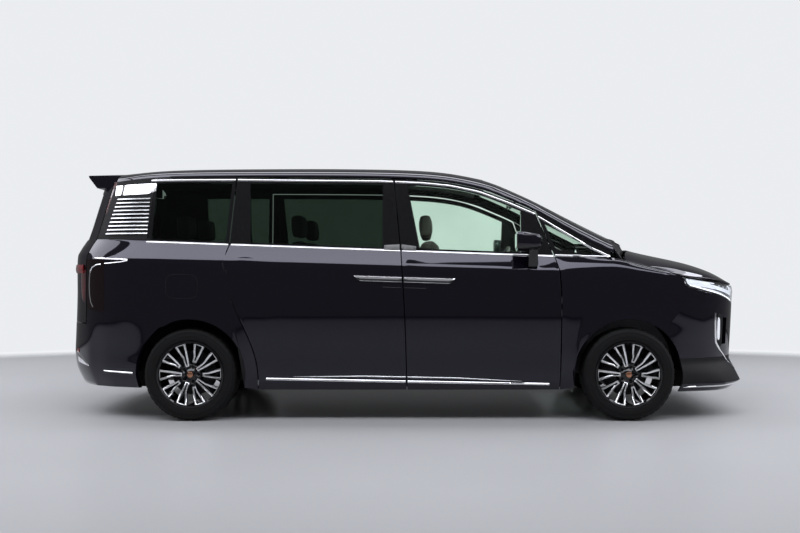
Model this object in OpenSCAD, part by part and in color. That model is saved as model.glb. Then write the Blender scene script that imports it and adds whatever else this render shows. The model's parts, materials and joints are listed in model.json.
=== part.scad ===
/* [Overall] */
// Distance between the two axles
wheelbase = 3200; // [3050:10:3350]
// Nose ahead of the front axle
front_overhang = 967; // [940:1:1000]
// Tail behind the rear axle
rear_overhang = 1055; // [1030:1:1090]
// Width over the body sides without mirrors
body_width = 2004; // [1960:2:2040]
// Height of the roof top over the ground
body_height = 1905; // [1885:1:1930]

/* [Body lines] */
// Height of the body's lower edge
sill_z = 218; // [205:1:235]
// Height of the window sill line at the middle of the car
belt_z = 1240; // [1220:1:1260]
// Height of the shoulder crease at the middle of the car
shoulder_z = 1120; // [1105:1:1130]
// Drop from the roof top to the rail over the side windows
rail_drop = 135; // [125:1:150]
// How far the window sill lies inside the shoulder
belt_inset = 72; // [60:1:85]
// Radius of the wheel arches
arch_r = 405; // [395:1:415]

/* [Panels] */
// Gap along each moving panel
seam = 8; // [7:0.5:9]
// Gap between panels that stay put
joint_gap = 0.4; // [0.3:0.1:0.6]
// Clearance of a part in its seat
seat_gap = 0.3; // [0.2:0.05:0.4]
// Thickness of a door at its middle
door_t = 95; // [80:1:105]
// Thickness of a window frame
frame_t = 40; // [32:1:45]
// Thickness of an outer skin
skin_t = 10; // [8:1:12]
// Thickness of a bumper cover
bumper_t = 26; // [20:1:32]
// Thickness of a window pane
glass_t = 5; // [4:0.5:6]
// Depth of a pane behind the skin
glass_in = 5; // [3:0.5:8]

/* [Wheels] */
// Outer diameter of a tyre
tyre_d = 676; // [660:1:690]
// Width of a tyre
tyre_w = 225; // [205:1:235]
// Diameter of the rim flange
rim_d = 467; // [455:1:475]
// Middle of a tyre inboard of the body side
tyre_in = 142; // [135:1:155]
// Number of double spokes
spokes = 10; // [8:1:12]
// Radius of a wheel spindle
spindle_r = 22; // [18:1:26]
// Steering axis inboard of the tyre's middle
king_in = 95; // [85:1:105]

/* [Cabin] */
// Top of the cabin floor
floor_z = 400; // [380:1:420]
// Thickness of the floor
floor_t = 60; // [40:1:80]
// Radius of the steering wheel rim
wheel_r = 185; // [170:1:195]

/* [Hidden] */
$fn = 48;
hw = body_width / 2;
track = body_width - 2 * tyre_in;
rail_z = body_height - rail_drop;
seat_w = body_width * 0.2595;
front_end = (wheelbase + front_overhang + rear_overhang) / 2;
rear_end = -front_end;
fa = front_end - front_overhang;
ra = fa - wheelbase;
hub_z = tyre_d / 2;
belt_slope = 0.0356;
shoulder_slope = 0.0277;
nose_x0 = fa - 644;
tail_x0 = ra + 256;
tail_n = 3.4;
roof_n = 2.5;
door_low = sill_z + 6;
corner_f = 0.8;
lamp_f = 0.9;
gate_low = 705;
king_y = track / 2 - king_in;
roof_seam = 35;

// Smooth curve through points [x, value], straight past its ends
function seg(p, x, i = 0) = (i >= len(p) - 2 || x < p[i + 1][0]) ? i : seg(p, x, i + 1);
function tang(p, i) =
  let (a = max(i - 1, 0), b = min(i + 1, len(p) - 1))
  (p[b][1] - p[a][1]) / (p[b][0] - p[a][0]);
function curve(p, x) =
  let (k = len(p) - 1)
  x <= p[0][0] ? p[0][1] + tang(p, 0) * (x - p[0][0]) :
  x >= p[k][0] ? p[k][1] + tang(p, k) * (x - p[k][0]) :
  let (i = seg(p, x), h = p[i + 1][0] - p[i][0], t = (x - p[i][0]) / h)
  p[i][1] * (1 + 2 * t) * pow(1 - t, 2) + tang(p, i) * h * t * pow(1 - t, 2)
  + p[i + 1][1] * t * t * (3 - 2 * t) + tang(p, i + 1) * h * t * t * (t - 1);
function mix(a, b, t) = a + (b - a) * t;

// Lines of the body along its length
function belt(x) = belt_z - belt_slope * x;
function shoulder(x) = shoulder_z - shoulder_slope * x;
function rail_up(k) = mix(belt_z, rail_z, k);
function rail(x) = curve([
  [ra - 734, rail_up(0.934)], [ra - 294, rail_up(0.996)], [ra + 319, rail_z], [fa - 1824, rail_up(0.983)],
  [fa - 1510, rail_up(0.9585)], [fa - 1299, rail_up(0.919)], [fa - 1088, rail_up(0.834)], [fa - 877, rail_up(0.683)],
  [fa - 670, rail_up(0.5113)], [fa - 462, rail_up(0.2717)], [fa - 263, rail_up(0.0453)],
  [fa - 106, belt(fa - 106) + 6]], x);
function ridge_up(k) = mix(belt_z + 60, body_height, k);
function ridge(x) = curve([
  [ra - 900, ridge_up(0.8975)], [ra - 634, ridge_up(0.9388)], [ra - 144, ridge_up(0.9818)],
  [ra + 656, body_height], [fa - 1944, ridge_up(0.9967)], [fa - 1444, ridge_up(0.9669)],
  [fa - 1044, ridge_up(0.8628)], [fa - 744, ridge_up(0.6612)], [fa - 394, ridge_up(0.3719)],
  [fa + 56, belt_z + 60]], x);
function hood_ridge(x) = curve([
  [fa + 56, 1292], [fa + 136, 1262], [fa + 356, 1212], [fa + 606, 1158],
  [fa + 806, 1092], [fa + 916, 1020], [fa + 952, 962]], x);

// Section of the body side at x: half width at height z before the ends taper
function side_in(x, z) =
  let (s = shoulder(x), b = belt(x))
  z <= s ? curve([[sill_z, 88], [sill_z + 50, 50], [sill_z + 85, 40], [500, 30], [700, 12], [900, 2], [s, 0]], z) :
  z <= b ? mix(0, belt_inset, (z - s) / (b - s)) :
  belt_inset + 0.245 * (z - b) + 0.00004 * pow(z - b, 2);
function flare(x, z, cx) =
  let (d = (norm([x - cx, z - hub_z]) - arch_r - 12) / 70)
  abs(d) > 1 ? 0 : 9 * pow(1 - d * d, 2);
function bow(x) = 1 - 0.012 * pow((x - ra - wheelbase * 0.45) / 1800, 2);
function nose_x(z) = curve([
  [sill_z - 10, front_end - 75], [245, front_end - 6], [265, front_end], [330, front_end - 20], [420, front_end - 34],
  [600, front_end - 28], [860, front_end - 18], [960, front_end - 16], [1060, front_end - 60]], z);
function tail_x(z) = curve([
  [sill_z, rear_end + 75], [330, rear_end + 22], [470, rear_end], [620, rear_end + 8],
  [900, rear_end + 20], [1150, rear_end + 20], [1225, rear_end + 27], [1285, rear_end + 60],
  [1345, rear_end + 93], [1690, rear_end + 190], [1800, rear_end + 226]], z);
function nose_n(z) = 3.5 + 2 * min(1, max(0, (grille_low - z) / 180));
function nose_f(x, z) = x <= nose_x0 ? 1 :
  pow(max(0, 1 - pow((x - nose_x0) / (nose_x(z) - nose_x0), nose_n(z))), 1 / nose_n(z));
function tail_f(x, z) = x >= tail_x0 ? 1 :
  pow(max(0, 1 - pow((tail_x0 - x) / (tail_x0 - tail_x(z)), tail_n)), 1 / tail_n);
function half(x, z) = (hw - side_in(x, z)) * bow(x) + flare(x, z, fa) + flare(x, z, ra);
function side_y(x, z) = half(x, z) * nose_f(x, z) * tail_f(x, z);
function side(x, z, t = 0) = [x, side_y(x, z) - t, z];
function nose(f, z, t = 0) =
  let (x = nose_x0 + (nose_x(z) - t - nose_x0) * pow(1 - pow(abs(f), nose_n(z)), 1 / nose_n(z)))
  [x, f * (half(x, z) - t), z];
function tail(f, z, t = 0) =
  let (x = tail_x0 - (tail_x0 - tail_x(z) - t) * pow(1 - pow(abs(f), tail_n), 1 / tail_n))
  [x, f * (half(x, z) - t), z];
function over(x, a, t = 0) =
  let (e = side_y(x, rail(x)), r = rail(x), c = ridge(x), s = cos(a) < 0 ? -1 : 1)
  [x, e * s * pow(abs(cos(a)), 2 / roof_n) - t * cos(a),
   r + (c - r) * pow(abs(sin(a)), 2 / roof_n) - t * sin(a)];

// Seam lines of the side: x at height z
function split_x(z) = fa + curve([[sill_z, -1619], [700, -1632], [1240, -1664], [1790, -1721]], z);
function fore_x(z) = fa + curve([
  [sill_z, -502], [480, -496], [650, -495], [780, -495], [920, -495], [1000, -497], [1087, -507], [1199, -538]], z);
function slide_x(z) = ra + curve([
  [sill_z, 494], [360, 494], [450, 480], [600, 431], [800, 341], [1000, 266], [1165, 246], [1286, 280], [1790, 308]], z);
function fender_x(z) = fa + curve([[600, 290], [700, 306], [780, 371], [880, 446], [1000, 431], [1060, 393]], z);
function bumper_z(x) = curve([[ra - 772, 814], [ra - 249, 688]], x);

// A closed shell between two grids of points, with open ranges [row, row, column, column]
function shut(open, m, n, j, i) =
  j >= 0 && i >= 0 && j < m - 1 && i < n - 1
  && len([for (o = open) if (j >= o[0] && j < o[1] && i >= o[2] && i < o[3]) 1]) == 0;
module shell(outer, inner, open = []) {
  m = len(outer);
  n = len(outer[0]);
  k = m * n;
  polyhedron(
    points = concat([for (r = outer) each r], [for (r = inner) each r]),
    faces = [for (j = [0 : m - 2], i = [0 : n - 2]) if (shut(open, m, n, j, i))
      let (a = j * n + i, b = a + 1, c = b + n, d = a + n)
      each concat(
        [[a, b, c], [a, c, d], [k + a, k + c, k + b], [k + a, k + d, k + c]],
        shut(open, m, n, j - 1, i) ? [] : [[a, k + a, k + b], [a, k + b, b]],
        shut(open, m, n, j + 1, i) ? [] : [[d, c, k + c], [d, k + c, k + d]],
        shut(open, m, n, j, i - 1) ? [] : [[a, d, k + d], [a, k + d, k + a]],
        shut(open, m, n, j, i + 1) ? [] : [[b, k + b, k + c], [b, k + c, c]])],
    convexity = 10);
}
module both() {
  children();
  mirror([0, 1, 0]) children();
}

// Side doors: 0 is the front door, 1 the sliding door
function rear_edge(k, z) = (k == 0 ? split_x(z) : slide_x(z)) + seam / 2;
function fore_edge(k, z) = (k == 0 ? fore_x(z) : split_x(z)) - seam / 2;
function spread(a, b, n) = [for (i = [0 : n]) mix(a, b, i / n)];
door_sill = [
  let (r = rear_edge(0, belt(fa - 1664)), f = fore_edge(0, belt(fa - 538)))
  concat([r, r + 24, r + 48], spread(fa - 1524, fa - 784, 5), [f - 60, f - 30, f]),
  let (r = rear_edge(1, belt(ra + 280)), f = fore_edge(1, belt(fa - 1664)))
  concat([r, r + 24, r + 48], spread(ra + 436, fa - 1798, 6), [f - 48, f - 24, f])];
door_head = [
  let (r = rear_edge(0, rail_z + 10), f = fa - 676)
  concat([r, r + 24, r + 48], spread(fa - 1630, fa - 777, 5), [f - 52, f - 26, f]),
  let (r = rear_edge(1, rail_z + 18), f = fore_edge(1, rail_z + 10))
  concat([r, r + 24, r + 48], spread(ra + 408, fa - 1804, 6), [f - 48, f - 24, f])];
head_up = 19;
door_rows = 17;
function door_z(j, x) = j == 0 ? door_low : j == 1 ? door_low + 26 : j == 2 ? door_low + 50 :
  j == 3 ? sill_z + 130 : j == 4 ? 500 : j == 5 ? 700 : j == 6 ? 900 : j == 7 ? shoulder(x) :
  mix(shoulder(x), belt(x), 0.5);
function door_w(j, h) = j == 9 ? 0 : j == 10 ? 22 / h : j == 15 ? 1 - 41 / h : j == 16 ? 1 :
  mix(22 / h, 1 - 41 / h, (j - 10) / 5);
function door_xz(k, i, j) =
  let (s = door_sill[k], n = len(s) - 1, u = (s[i] - s[0]) / (s[n] - s[0]))
  j < 9 ? let (z = door_z(j, s[i])) [mix(rear_edge(k, z), fore_edge(k, z), u), z] :
  let (h = door_head[k], b = belt(s[i]), e = rail(h[i]) + head_up, w = door_w(j, e - b))
  [mix(s[i], h[i], w), mix(b, e, w)];
function door_depth(k, i, j) =
  let (n = len(door_sill[k]) - 1, edge = i < 2 || i > n - 2 || j < 2 || j == door_rows - 1)
  edge ? skin_t : j <= 9 ? door_t : j == 10 ? mix(door_t, frame_t, 0.5) : frame_t;
module door(k) {
  n = len(door_sill[k]) - 1;
  shell(
    [for (j = [0 : door_rows - 1]) [for (i = [0 : n]) let (p = door_xz(k, i, j)) side(p[0], p[1])]],
    [for (j = [0 : door_rows - 1]) [for (i = [0 : n])
      let (p = door_xz(k, i, j)) side(p[0], p[1], door_depth(k, i, j))]],
    [[10, 15, 3, n - 3]]);
}
module door_pane(k) {
  n = len(door_sill[k]) - 1;
  rows = [10 : 15];
  cols = [3 : n - 3];
  function in(i, j) =
    let (p = door_xz(k, i, j))
    [p[0] + (i == 3 ? seat_gap : i == n - 3 ? -seat_gap : 0), p[1] + (j == 10 ? seat_gap : j == 15 ? -seat_gap : 0)];
  shell(
    [for (j = rows) [for (i = cols) let (p = in(i, j)) side(p[0], p[1], glass_in)]],
    [for (j = rows) [for (i = cols) let (p = in(i, j)) side(p[0], p[1], glass_in + glass_t)]]);
}

// Rear quarter: columns run from the tail corner to the sliding door
arch_cols = 10;
function arch_pt(cx, a) = [cx + arch_r * cos(a), hub_z + arch_r * sin(a)];
quarter_n = arch_cols + 4;
tail_cols = [corner_f, 0.85, lamp_f, 0.95];
function seam_pt(w) = [mix(ra - 209, tail(lamp_f, 790)[0], w), mix(685, 790, w)];
function seam_w(x) = (x - ra + 209) / (tail(lamp_f, 790)[0] - ra + 209);
function quarter_foot(i) = i == 0 ? [tail(corner_f, 810)[0], 810] : i == 1 ? [tail(0.85, 800)[0], 800] :
  i == 2 ? seam_pt(1) : i == 3 ? seam_pt(seam_w(tail(0.95, 755)[0])) :
  i == quarter_n ? [slide_x(door_low) - seam / 2, door_low] :
  arch_pt(ra, mix(121, -14, (i - 4) / (arch_cols - 1)));
function quarter_sill(i) = i < 4 ? tail(tail_cols[i], belt(ra - 650 + 90 * i))[0] :
  i == quarter_n ? slide_x(belt(ra + 280)) - seam / 2 : mix(ra - 298, ra + 250, (i - 4) / (arch_cols - 1));
function quarter_head(i) = i < 4 ? tail(tail_cols[i], rail_z - 20)[0] :
  i == quarter_n ? slide_x(rail_z + 19) - seam / 2 : mix(ra - 290, ra + 278, (i - 4) / (arch_cols - 1));
function quarter_xz(i, j) =
  let (q = quarter_foot(i), b = quarter_sill(i), s = shoulder(b))
  j < 6 ? let (z = j < 5 ? mix(q[1] + joint_gap, s, j / 4) : mix(s, belt(b), 0.5))
    [i == quarter_n ? slide_x(z) - seam / 2 : mix(q[0], b, (z - q[1]) / (belt(b) - q[1])), z] :
  let (h = quarter_head(i), e = rail(h) + head_up, lo = 22 / (e - belt(b)), hi = 1 - 41 / (e - belt(b)),
    w = j == 6 ? 0 : j == 13 ? 1 : mix(lo, hi, (j - 7) / 5))
  [mix(b, h, w), mix(belt(b), e, w)];
function quarter_pt(i, j, t) =
  let (p = quarter_xz(i, j))
  j == 13 ? over(quarter_head(i), rail_low - 0.25) - [0, i < 4 ? 0 : t, t * 0.17]
    + (i < 4 ? tail(tail_cols[i], rail_z - 20, t) - tail(tail_cols[i], rail_z - 20) : [0, 0, 0]) :
  i < 4 ? tail(tail_cols[i], p[1], t) : side(p[0], p[1], t);
module quarter() {
  shell(
    [for (j = [0 : 13]) [for (i = [0 : quarter_n]) quarter_pt(i, j, 0)]],
    [for (j = [0 : 13]) [for (i = [0 : quarter_n]) quarter_pt(i, j, j < 7 ? 60 : frame_t)]],
    [[7, 12, 4, quarter_n - 1], [0, 4, 0, 2]]);
}
module quarter_pane() {
  function in(i, j) =
    let (p = quarter_xz(i, j))
    [p[0] + (i == 4 ? seat_gap : i == quarter_n - 1 ? -seat_gap : 0), p[1] + (j == 7 ? seat_gap : j == 12 ? -seat_gap : 0)];
  shell(
    [for (j = [7 : 12]) [for (i = [4 : quarter_n - 1]) let (p = in(i, j)) side(p[0], p[1], glass_in)]],
    [for (j = [7 : 12]) [for (i = [4 : quarter_n - 1]) let (p = in(i, j)) side(p[0], p[1], glass_in + glass_t)]]);
}

// Front fender and the seam it shares with the hood
function edge_z(x) = curve([
  [fa - 538, belt(fa - 538)], [fa - 106, 1189], [fa + 56, 1160], [fa + 206, 1120], [fa + 393, 1064],
  [fa + 621, 970], [fa + 826, 803], [fa + 950, 690]], x);
function edge_y(x) = hw - curve([
  [fa - 538, belt_inset + 4], [fa - 300, 82], [fa - 106, 102], [fa + 56, 134], [fa + 206, 134], [fa + 306, 117],
  [fa + 393, 82], [fa + 400, 82]], min(x, fa + 400));
fender_n = 11;
function fender_foot(i) = i == 0 ? [fore_x(door_low) + seam / 2, door_low] : i == fender_n ? arch_pt(fa, 44) :
  arch_pt(fa, mix(194, 58, (i - 1) / (fender_n - 2)));
function fender_top(i) = i == 0 ? fore_x(shoulder(fa - 500)) + seam / 2 : i == fender_n ? fa + 395 :
  mix(fa - 410, fa + 300, (i - 1) / (fender_n - 2));
function fender_pt(i, j, t) =
  let (q = fender_foot(i), b = fender_top(i), s = shoulder(b))
  j < 6 ? let (z = mix(q[1], s, j / 5),
      x = i == 0 ? fore_x(z) + seam / 2 : i == fender_n ? fender_x(z) : mix(q[0], b, j / 5))
    side(x, z, t) :
  let (xe = i == 0 ? fore_x(belt(b)) + seam / 2 : b, w = (j - 5) / 3, x = mix(b, xe, w),
    k = min(1, max(0, (x - fa + 538) / 500)), ys = side_y(b, s), ye = edge_y(x), ze = edge_z(x),
    cy = mix((ys + ye) / 2, ys - 8, k), cz = mix((s + ze) / 2, ze - 6, k))
  [x, ys * pow(1 - w, 2) + 2 * cy * w * (1 - w) + ye * w * w - t * (1 - w * 0.3 * k),
   s * pow(1 - w, 2) + 2 * cz * w * (1 - w) + ze * w * w - t * w * k];
module fender() {
  shell(
    [for (j = [0 : 8]) [for (i = [0 : fender_n]) fender_pt(i, j, 0)]],
    [for (j = [0 : 8]) [for (i = [0 : fender_n]) fender_pt(i, j, skin_t)]]);
}

// Hood
function hood_z(x, u) = mix(hood_ridge(x), edge_z(x), 1 - pow(1 - pow(min(1, abs(u)), 2.2), 0.8));
function hood_front(f) = curve([[0, 962], [0.6, 993], [0.82, 1030], [0.93, 1062]], abs(f));
function hood_rear_x(u) = fa + 146 - 150 * pow(min(1, abs(u) / 0.92), 2);
hood_cols = 14;
function hood_pt(i, j, t) =
  let (u = mix(-1, 1, i / hood_cols), xr = hood_rear_x(u), f = 0.93 * abs(u),
    xf = nose(f, hood_front(f))[0] - seam, x = mix(xr, xf, j / 9))
  [x, u * (edge_y(x) - seam), hood_z(x, u) + (hood_front(f) + 6 - hood_z(xf, u)) * pow(j / 9, 3) - t];
module hood() {
  color("#1d1a24") shell(
    [for (j = [0 : 9]) [for (i = [0 : hood_cols]) hood_pt(i, j, 0)]],
    [for (j = [0 : 9]) [for (i = [0 : hood_cols]) hood_pt(i, j, skin_t)]]);
}

// Roof, its rails with the front pillars, and the windshield
head_x = fa - 1044;
roof_end = ra - 634;
roof_cols = 14;
module roof() {
  color("#1d1a24") shell(
    [for (j = [0 : 12]) [for (i = [0 : roof_cols]) over(mix(roof_end, head_x, j / 12), mix(180 - roof_seam, roof_seam, i / roof_cols), 0)]],
    [for (j = [0 : 12]) [for (i = [0 : roof_cols]) over(mix(roof_end, head_x, j / 12), mix(180 - roof_seam, roof_seam, i / roof_cols), 30)]]);
}
rail_low = 8.5;
rail_x = concat([for (j = [0 : 12]) mix(roof_end, head_x, j / 12)],
  [for (j = [1 : 9]) mix(head_x + joint_gap, fa - 99, j / 9)]);
function rail_pt(i, j, t) = over(rail_x[i], mix(rail_low, roof_seam - 0.06, j / 3), t);
module rails() {
  color("#1d1a24") both() shell(
    [for (j = [0 : 3]) [for (i = [0 : len(rail_x) - 1]) rail_pt(i, j, 0)]],
    [for (j = [0 : 3]) [for (i = [0 : len(rail_x) - 1]) rail_pt(i, j, 32)]]);
}
function shield_base(a) = fa + 86 - 185 * pow(cos(a) / cos(roof_seam), 2);
function shield_pt(i, j, t) =
  let (a = mix(179.9 - roof_seam, roof_seam + 0.1, i / 12)) over(mix(head_x + joint_gap, shield_base(a), j / 9), a, t);
module windshield() {
  color("#5f6f6a") shell(
    [for (j = [0 : 9]) [for (i = [0 : 12]) shield_pt(i, j, 2)]],
    [for (j = [0 : 9]) [for (i = [0 : 12]) shield_pt(i, j, 2 + glass_t)]]);
}
module cowl() {
  function at(i, j) =
    let (u = mix(-1, 1, i / 12), p = shield_pt(i, 9, 4), xr = hood_rear_x(abs(u) + 0.1) - seam - 6)
    [mix(p[0] + joint_gap, xr, j / 2), mix(p[1], u * (edge_y(xr) - seam), j / 2),
     j == 0 ? p[2] - 3 : j == 1 ? mix(p[2], hood_z(xr, u), 0.5) - 14 : hood_z(xr, u) - 14];
  color("#161618") shell(
    [for (j = [0 : 2]) [for (i = [0 : 12]) at(i, j)]],
    [for (j = [0 : 2]) [for (i = [0 : 12]) at(i, j) - [0, 0, 24]]]);
}

// Front bumper, grille and headlamps
grille_f = 0.53;
grille_low = 415;
bumper_low = sill_z - 14;
function fender_row(j) = mix(arch_pt(fa, 44)[1], shoulder(fa + 395), j / 5);
function lamp_foot(w) = mix(fender_row(4), 834, pow(min(1, w), 0.7));
function bumper_edge(z) = z > arch_pt(fa, 44)[1] - 1 ? fender_x(z) + joint_gap :
  fa + sqrt(max(0, pow(arch_r, 2) - pow(z - hub_z, 2)));
front_side = 8;
front_mid = 8;
function front_pt(i, j, t) =
  let (n = front_side * 2 + front_mid, m = i > n / 2 ? n - i : i, s = i > n / 2 ? -1 : 1,
    zt = lamp_foot(m / front_side), w = min(1, m / front_side),
    z0 = j < 6 ? mix(grille_low, fender_row(0), (j - 3) / 3) : fender_row(j - 6),
    k = (z0 - grille_low) / (fender_row(4) - grille_low),
    z = j < 4 ? [bumper_low, 265, 340, grille_low][j] : mix(grille_low, zt, mix(k, (j - 3) / 7, w)),
    x0 = bumper_edge(z), f0 = nose_f(x0, z), q = side(x0, z, t),
    f = m <= front_side ? mix(f0, grille_f, m / front_side) : mix(grille_f, 0, (m - front_side) / (front_mid / 2)))
  m == 0 ? [q[0], s * q[1], q[2]] : nose(s * f, z - (j == 10 ? 0.16 * t : 0), t);
module front_bumper() {
  n = front_side * 2 + front_mid;
  color("#1d1a24") shell(
    [for (j = [0 : 10]) [for (i = [0 : n]) front_pt(i, j, 0)]],
    [for (j = [0 : 10]) [for (i = [0 : n]) front_pt(i, j, bumper_t)]],
    [[3, 10, front_side, front_side + front_mid], [5, 8, 4, 5], [5, 8, n - 5, n - 4]]);
}
bars = 17;
module grille() {
  n = bars * 4 + 1;
  function at(i, j, t) =
    let (f = mix(grille_f - 0.002, -grille_f + 0.002, i / n), z = mix(grille_low + joint_gap, hood_front(f) - seam - 6, j / 4))
    nose(f, z, t);
  color("#c9c9cc") shell(
    [for (j = [0 : 4]) [for (i = [0 : n]) at(i, j, i % 4 == 1 || i % 4 == 2 ? 6 : 34)]],
    [for (j = [0 : 4]) [for (i = [0 : n]) at(i, j, 44)]]);
}
module headlamps() {
  function at(i, j, t) =
    let (w = i / front_side, z = mix(lamp_foot(w) + 2.5 * joint_gap, mix(shoulder(fa + 395), hood_front(mix(0.915, grille_f, w)), w > 0 ? 1 : 0)
      - seam - 4, j / 4), x0 = fender_x(z) + joint_gap, f = mix(nose_f(x0, z), grille_f + 0.004, w))
    i == 0 ? side(x0, z, t) : nose(f, z, t);
  color("#d8dde2") both() shell(
    [for (j = [0 : 4]) [for (i = [front_side : -1 : 0]) at(i, j, 0)]],
    [for (j = [0 : 4]) [for (i = [front_side : -1 : 0]) at(i, j, 45)]]);
}

// Rear bumper, tail lamps, tailgate and spoiler
rear_side = 6;
rear_mid = 10;
gate_f = corner_f - seam / 900;
function rear_pt(i, j, t) =
  let (n = rear_side * 2 + rear_mid, m = i > n / 2 ? n - i : i, s = i > n / 2 ? 1 : -1,
    top = m >= rear_side ? 810 : m == rear_side - 1 ? 800 : mix(685, 790, m / (rear_side - 2)),
    z = j == 5 ? top : mix(bumper_low + 30, min(gate_low - seam, top - 25), j / 4),
    xa = ra - sqrt(max(0, pow(arch_r, 2) - pow(z - hub_z, 2))), xl = tail(lamp_f, z)[0], v = m / (rear_side - 2),
    f = m == rear_side - 1 ? 0.85 : m < rear_side ? tail_f(j == 5 ? seam_pt(v)[0] : mix(xa, xl, v), z) :
      mix(corner_f, 0, (m - rear_side) / (rear_mid / 2)))
  tail(s * f, z - (j == 5 ? 0.3 * t : 0), t);
module rear_bumper() {
  n = rear_side * 2 + rear_mid;
  color("#1d1a24") shell(
    [for (j = [0 : 5]) [for (i = [0 : n]) rear_pt(i, j, 0)]],
    [for (j = [0 : 5]) [for (i = [0 : n]) rear_pt(i, j, bumper_t)]],
    [[4, 5, rear_side, rear_side + rear_mid]]);
}
module tail_lamps() {
  function at(i, j, t) = tail(i == 2 ? lamp_f - 0.0006 : tail_cols[i],
    mix(quarter_foot(i)[1] + joint_gap, shoulder(quarter_sill(i)) - joint_gap, j / 4), t);
  color("#8c1a1e") both() shell(
    [for (j = [0 : 4]) [for (i = [0 : 2]) at(i, j, 0)]],
    [for (j = [0 : 4]) [for (i = [0 : 2]) at(i, j, 45)]]);
}
gate_top = rail_z - 34;
gate_cols = 12;
function gate_z(j) = j < 5 ? mix(gate_low, 1150, j / 4) : j == 5 ? 1215 : j == 6 ? 1275 :
  j < 14 ? mix(1330, gate_top - 42, (j - 7) / 6) : gate_top;
function gate_u(i) = i == 0 ? -gate_f : i == gate_cols ? gate_f : mix(-0.67, 0.67, (i - 1) / (gate_cols - 2));
module tailgate() {
  color("#1d1a24") shell(
    [for (j = [0 : 14]) [for (i = [0 : gate_cols]) tail(gate_u(i), gate_z(j), 0)]],
    [for (j = [0 : 14]) [for (i = [0 : gate_cols]) tail(gate_u(i), gate_z(j), 45)]],
    [[7, 13, 1, gate_cols - 1]]);
}
module tailgate_glass() {
  function at(i, j, t) = tail(gate_u(i) * 0.9994, gate_z(j) + (j == 7 ? seat_gap : j == 13 ? -seat_gap : 0), t);
  color("#39433f") shell(
    [for (j = [7 : 13]) [for (i = [1 : gate_cols - 1]) at(i, j, glass_in)]],
    [for (j = [7 : 13]) [for (i = [1 : gate_cols - 1]) at(i, j, glass_in + glass_t)]]);
}
module tailgate_lamp() {
  function at(i, j, t) = tail(max(-0.77, min(0.77, gate_u(i))), mix(1075, 1140, j / 2), t);
  color("#8c1a1e") shell(
    [for (j = [0 : 2]) [for (i = [0 : gate_cols]) at(i, j, j == 1 ? -11 : -6)]],
    [for (j = [0 : 2]) [for (i = [0 : gate_cols]) at(i, j, -2 * seat_gap)]]);
}
spoiler_x = roof_end - seam;
module roof_spoiler() {
  function front(i) = over(spoiler_x, mix(176 - roof_seam, roof_seam + 4, i / 12), 0);
  function top(i, j) =
    let (p = front(i), u = mix(-1, 1, i / 12), tip = [ra - 931 + 26 * u * u, p[1] * 0.95, body_height - 62 - 10 * u * u], w = j / 4)
    [mix(tip[0], p[0], w), mix(tip[1], p[1], w), mix(tip[2], p[2], w) + 7 * w * (1 - w) * 4 * 0.4];
  function under(i, j) = let (p = top(i, j)) [p[0] + (j == 0 ? 3 : 0), p[1], j == 0 ? p[2] - 16 : gate_top + seat_gap];
  color("#1d1a24") shell(
    [for (j = [0 : 4]) [for (i = [0 : 12]) top(i, j)]],
    [for (j = [0 : 4]) [for (i = [0 : 12]) under(i, j)]]);
}

// Front quarter window between the door, the front pillar and the fender
function vent_xz(i, j) =
  let (s = [0, 0.07, 0.23, 0.39, 0.55, 0.72, 1][i], b = mix(fa - 538 + seam / 2, fa - 124, s),
    h = mix(fa - 672 + seam / 2, fa - 124, s), w = [0, 0.16, 0.38, 0.58, 0.78, 1][j], e = rail(h) + head_up)
  [mix(b, h, w), mix(edge_z(b) + 0.8, e, w)];
function vent_pt(i, j, t) =
  let (p = vent_xz(i, j), h = vent_xz(i, 5)[0])
  j == 5 ? over(h, rail_low - 0.9) - [0, t, t * 0.2] :
  j == 0 ? [p[0], edge_y(p[0]) - t, p[1]] : side(p[0], p[1], t);
module vent_frames() {
  both() shell(
    [for (j = [0 : 5]) [for (i = [0 : 6]) vent_pt(i, j, 0)]],
    [for (j = [0 : 5]) [for (i = [0 : 6]) vent_pt(i, j, 28)]],
    [[1, 4, 1, 5]]);
}
module vent_pane() {
  function in(i, j, t) =
    let (p = vent_xz(i, j))
    side(p[0] + (i == 1 ? seat_gap : i == 5 ? -seat_gap : 0), p[1] + (j == 1 ? seat_gap : j == 4 ? -seat_gap : 0), t);
  shell(
    [for (j = [1 : 4]) [for (i = [1 : 5]) in(i, j, glass_in)]],
    [for (j = [1 : 4]) [for (i = [1 : 5]) in(i, j, glass_in + glass_t)]]);
}

// Trim that stands on the side: door handles, pillar louvers and mirrors
module blade(x0, x1, back, fore) {
  function at(i, j, t) =
    let (x = mix(x0 - back * (j - 1), x1 + fore * (j - 1), i / 6)) side(x, 1031 - 0.032 * x + (j - 1) * 20, t);
  shell(
    [for (j = [0 : 2]) [for (i = [0 : 6]) at(i, j, j == 1 ? -20 : -7)]],
    [for (j = [0 : 2]) [for (i = [0 : 6]) at(i, j, -0.3)]]);
}
module louvers() {
  for (k = [0 : 9]) {
    z = mix(belt_z, rail_z, 0.2415 + 0.0547 * k);
    h = (rail_z - belt_z) * 0.0302;
    f0 = 0.858 + 0.0012 * k;
    shell(
      [for (j = [0 : 1]) [for (i = [0 : 4]) let (f = [f0, 0.9, 0.93, 0.95][i])
        i == 4 ? side(ra - 334, z + h * j, -9 + 5 * j) : tail(f, z + h * j, -9 + 5 * j)]],
      [for (j = [0 : 1]) [for (i = [0 : 4]) let (f = [f0, 0.9, 0.93, 0.95][i])
        i == 4 ? side(ra - 334, z + h * j, -0.5) : tail(f, z + h * j, -0.5)]]);
  }
}
mirror_x = fa - 740;
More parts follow.
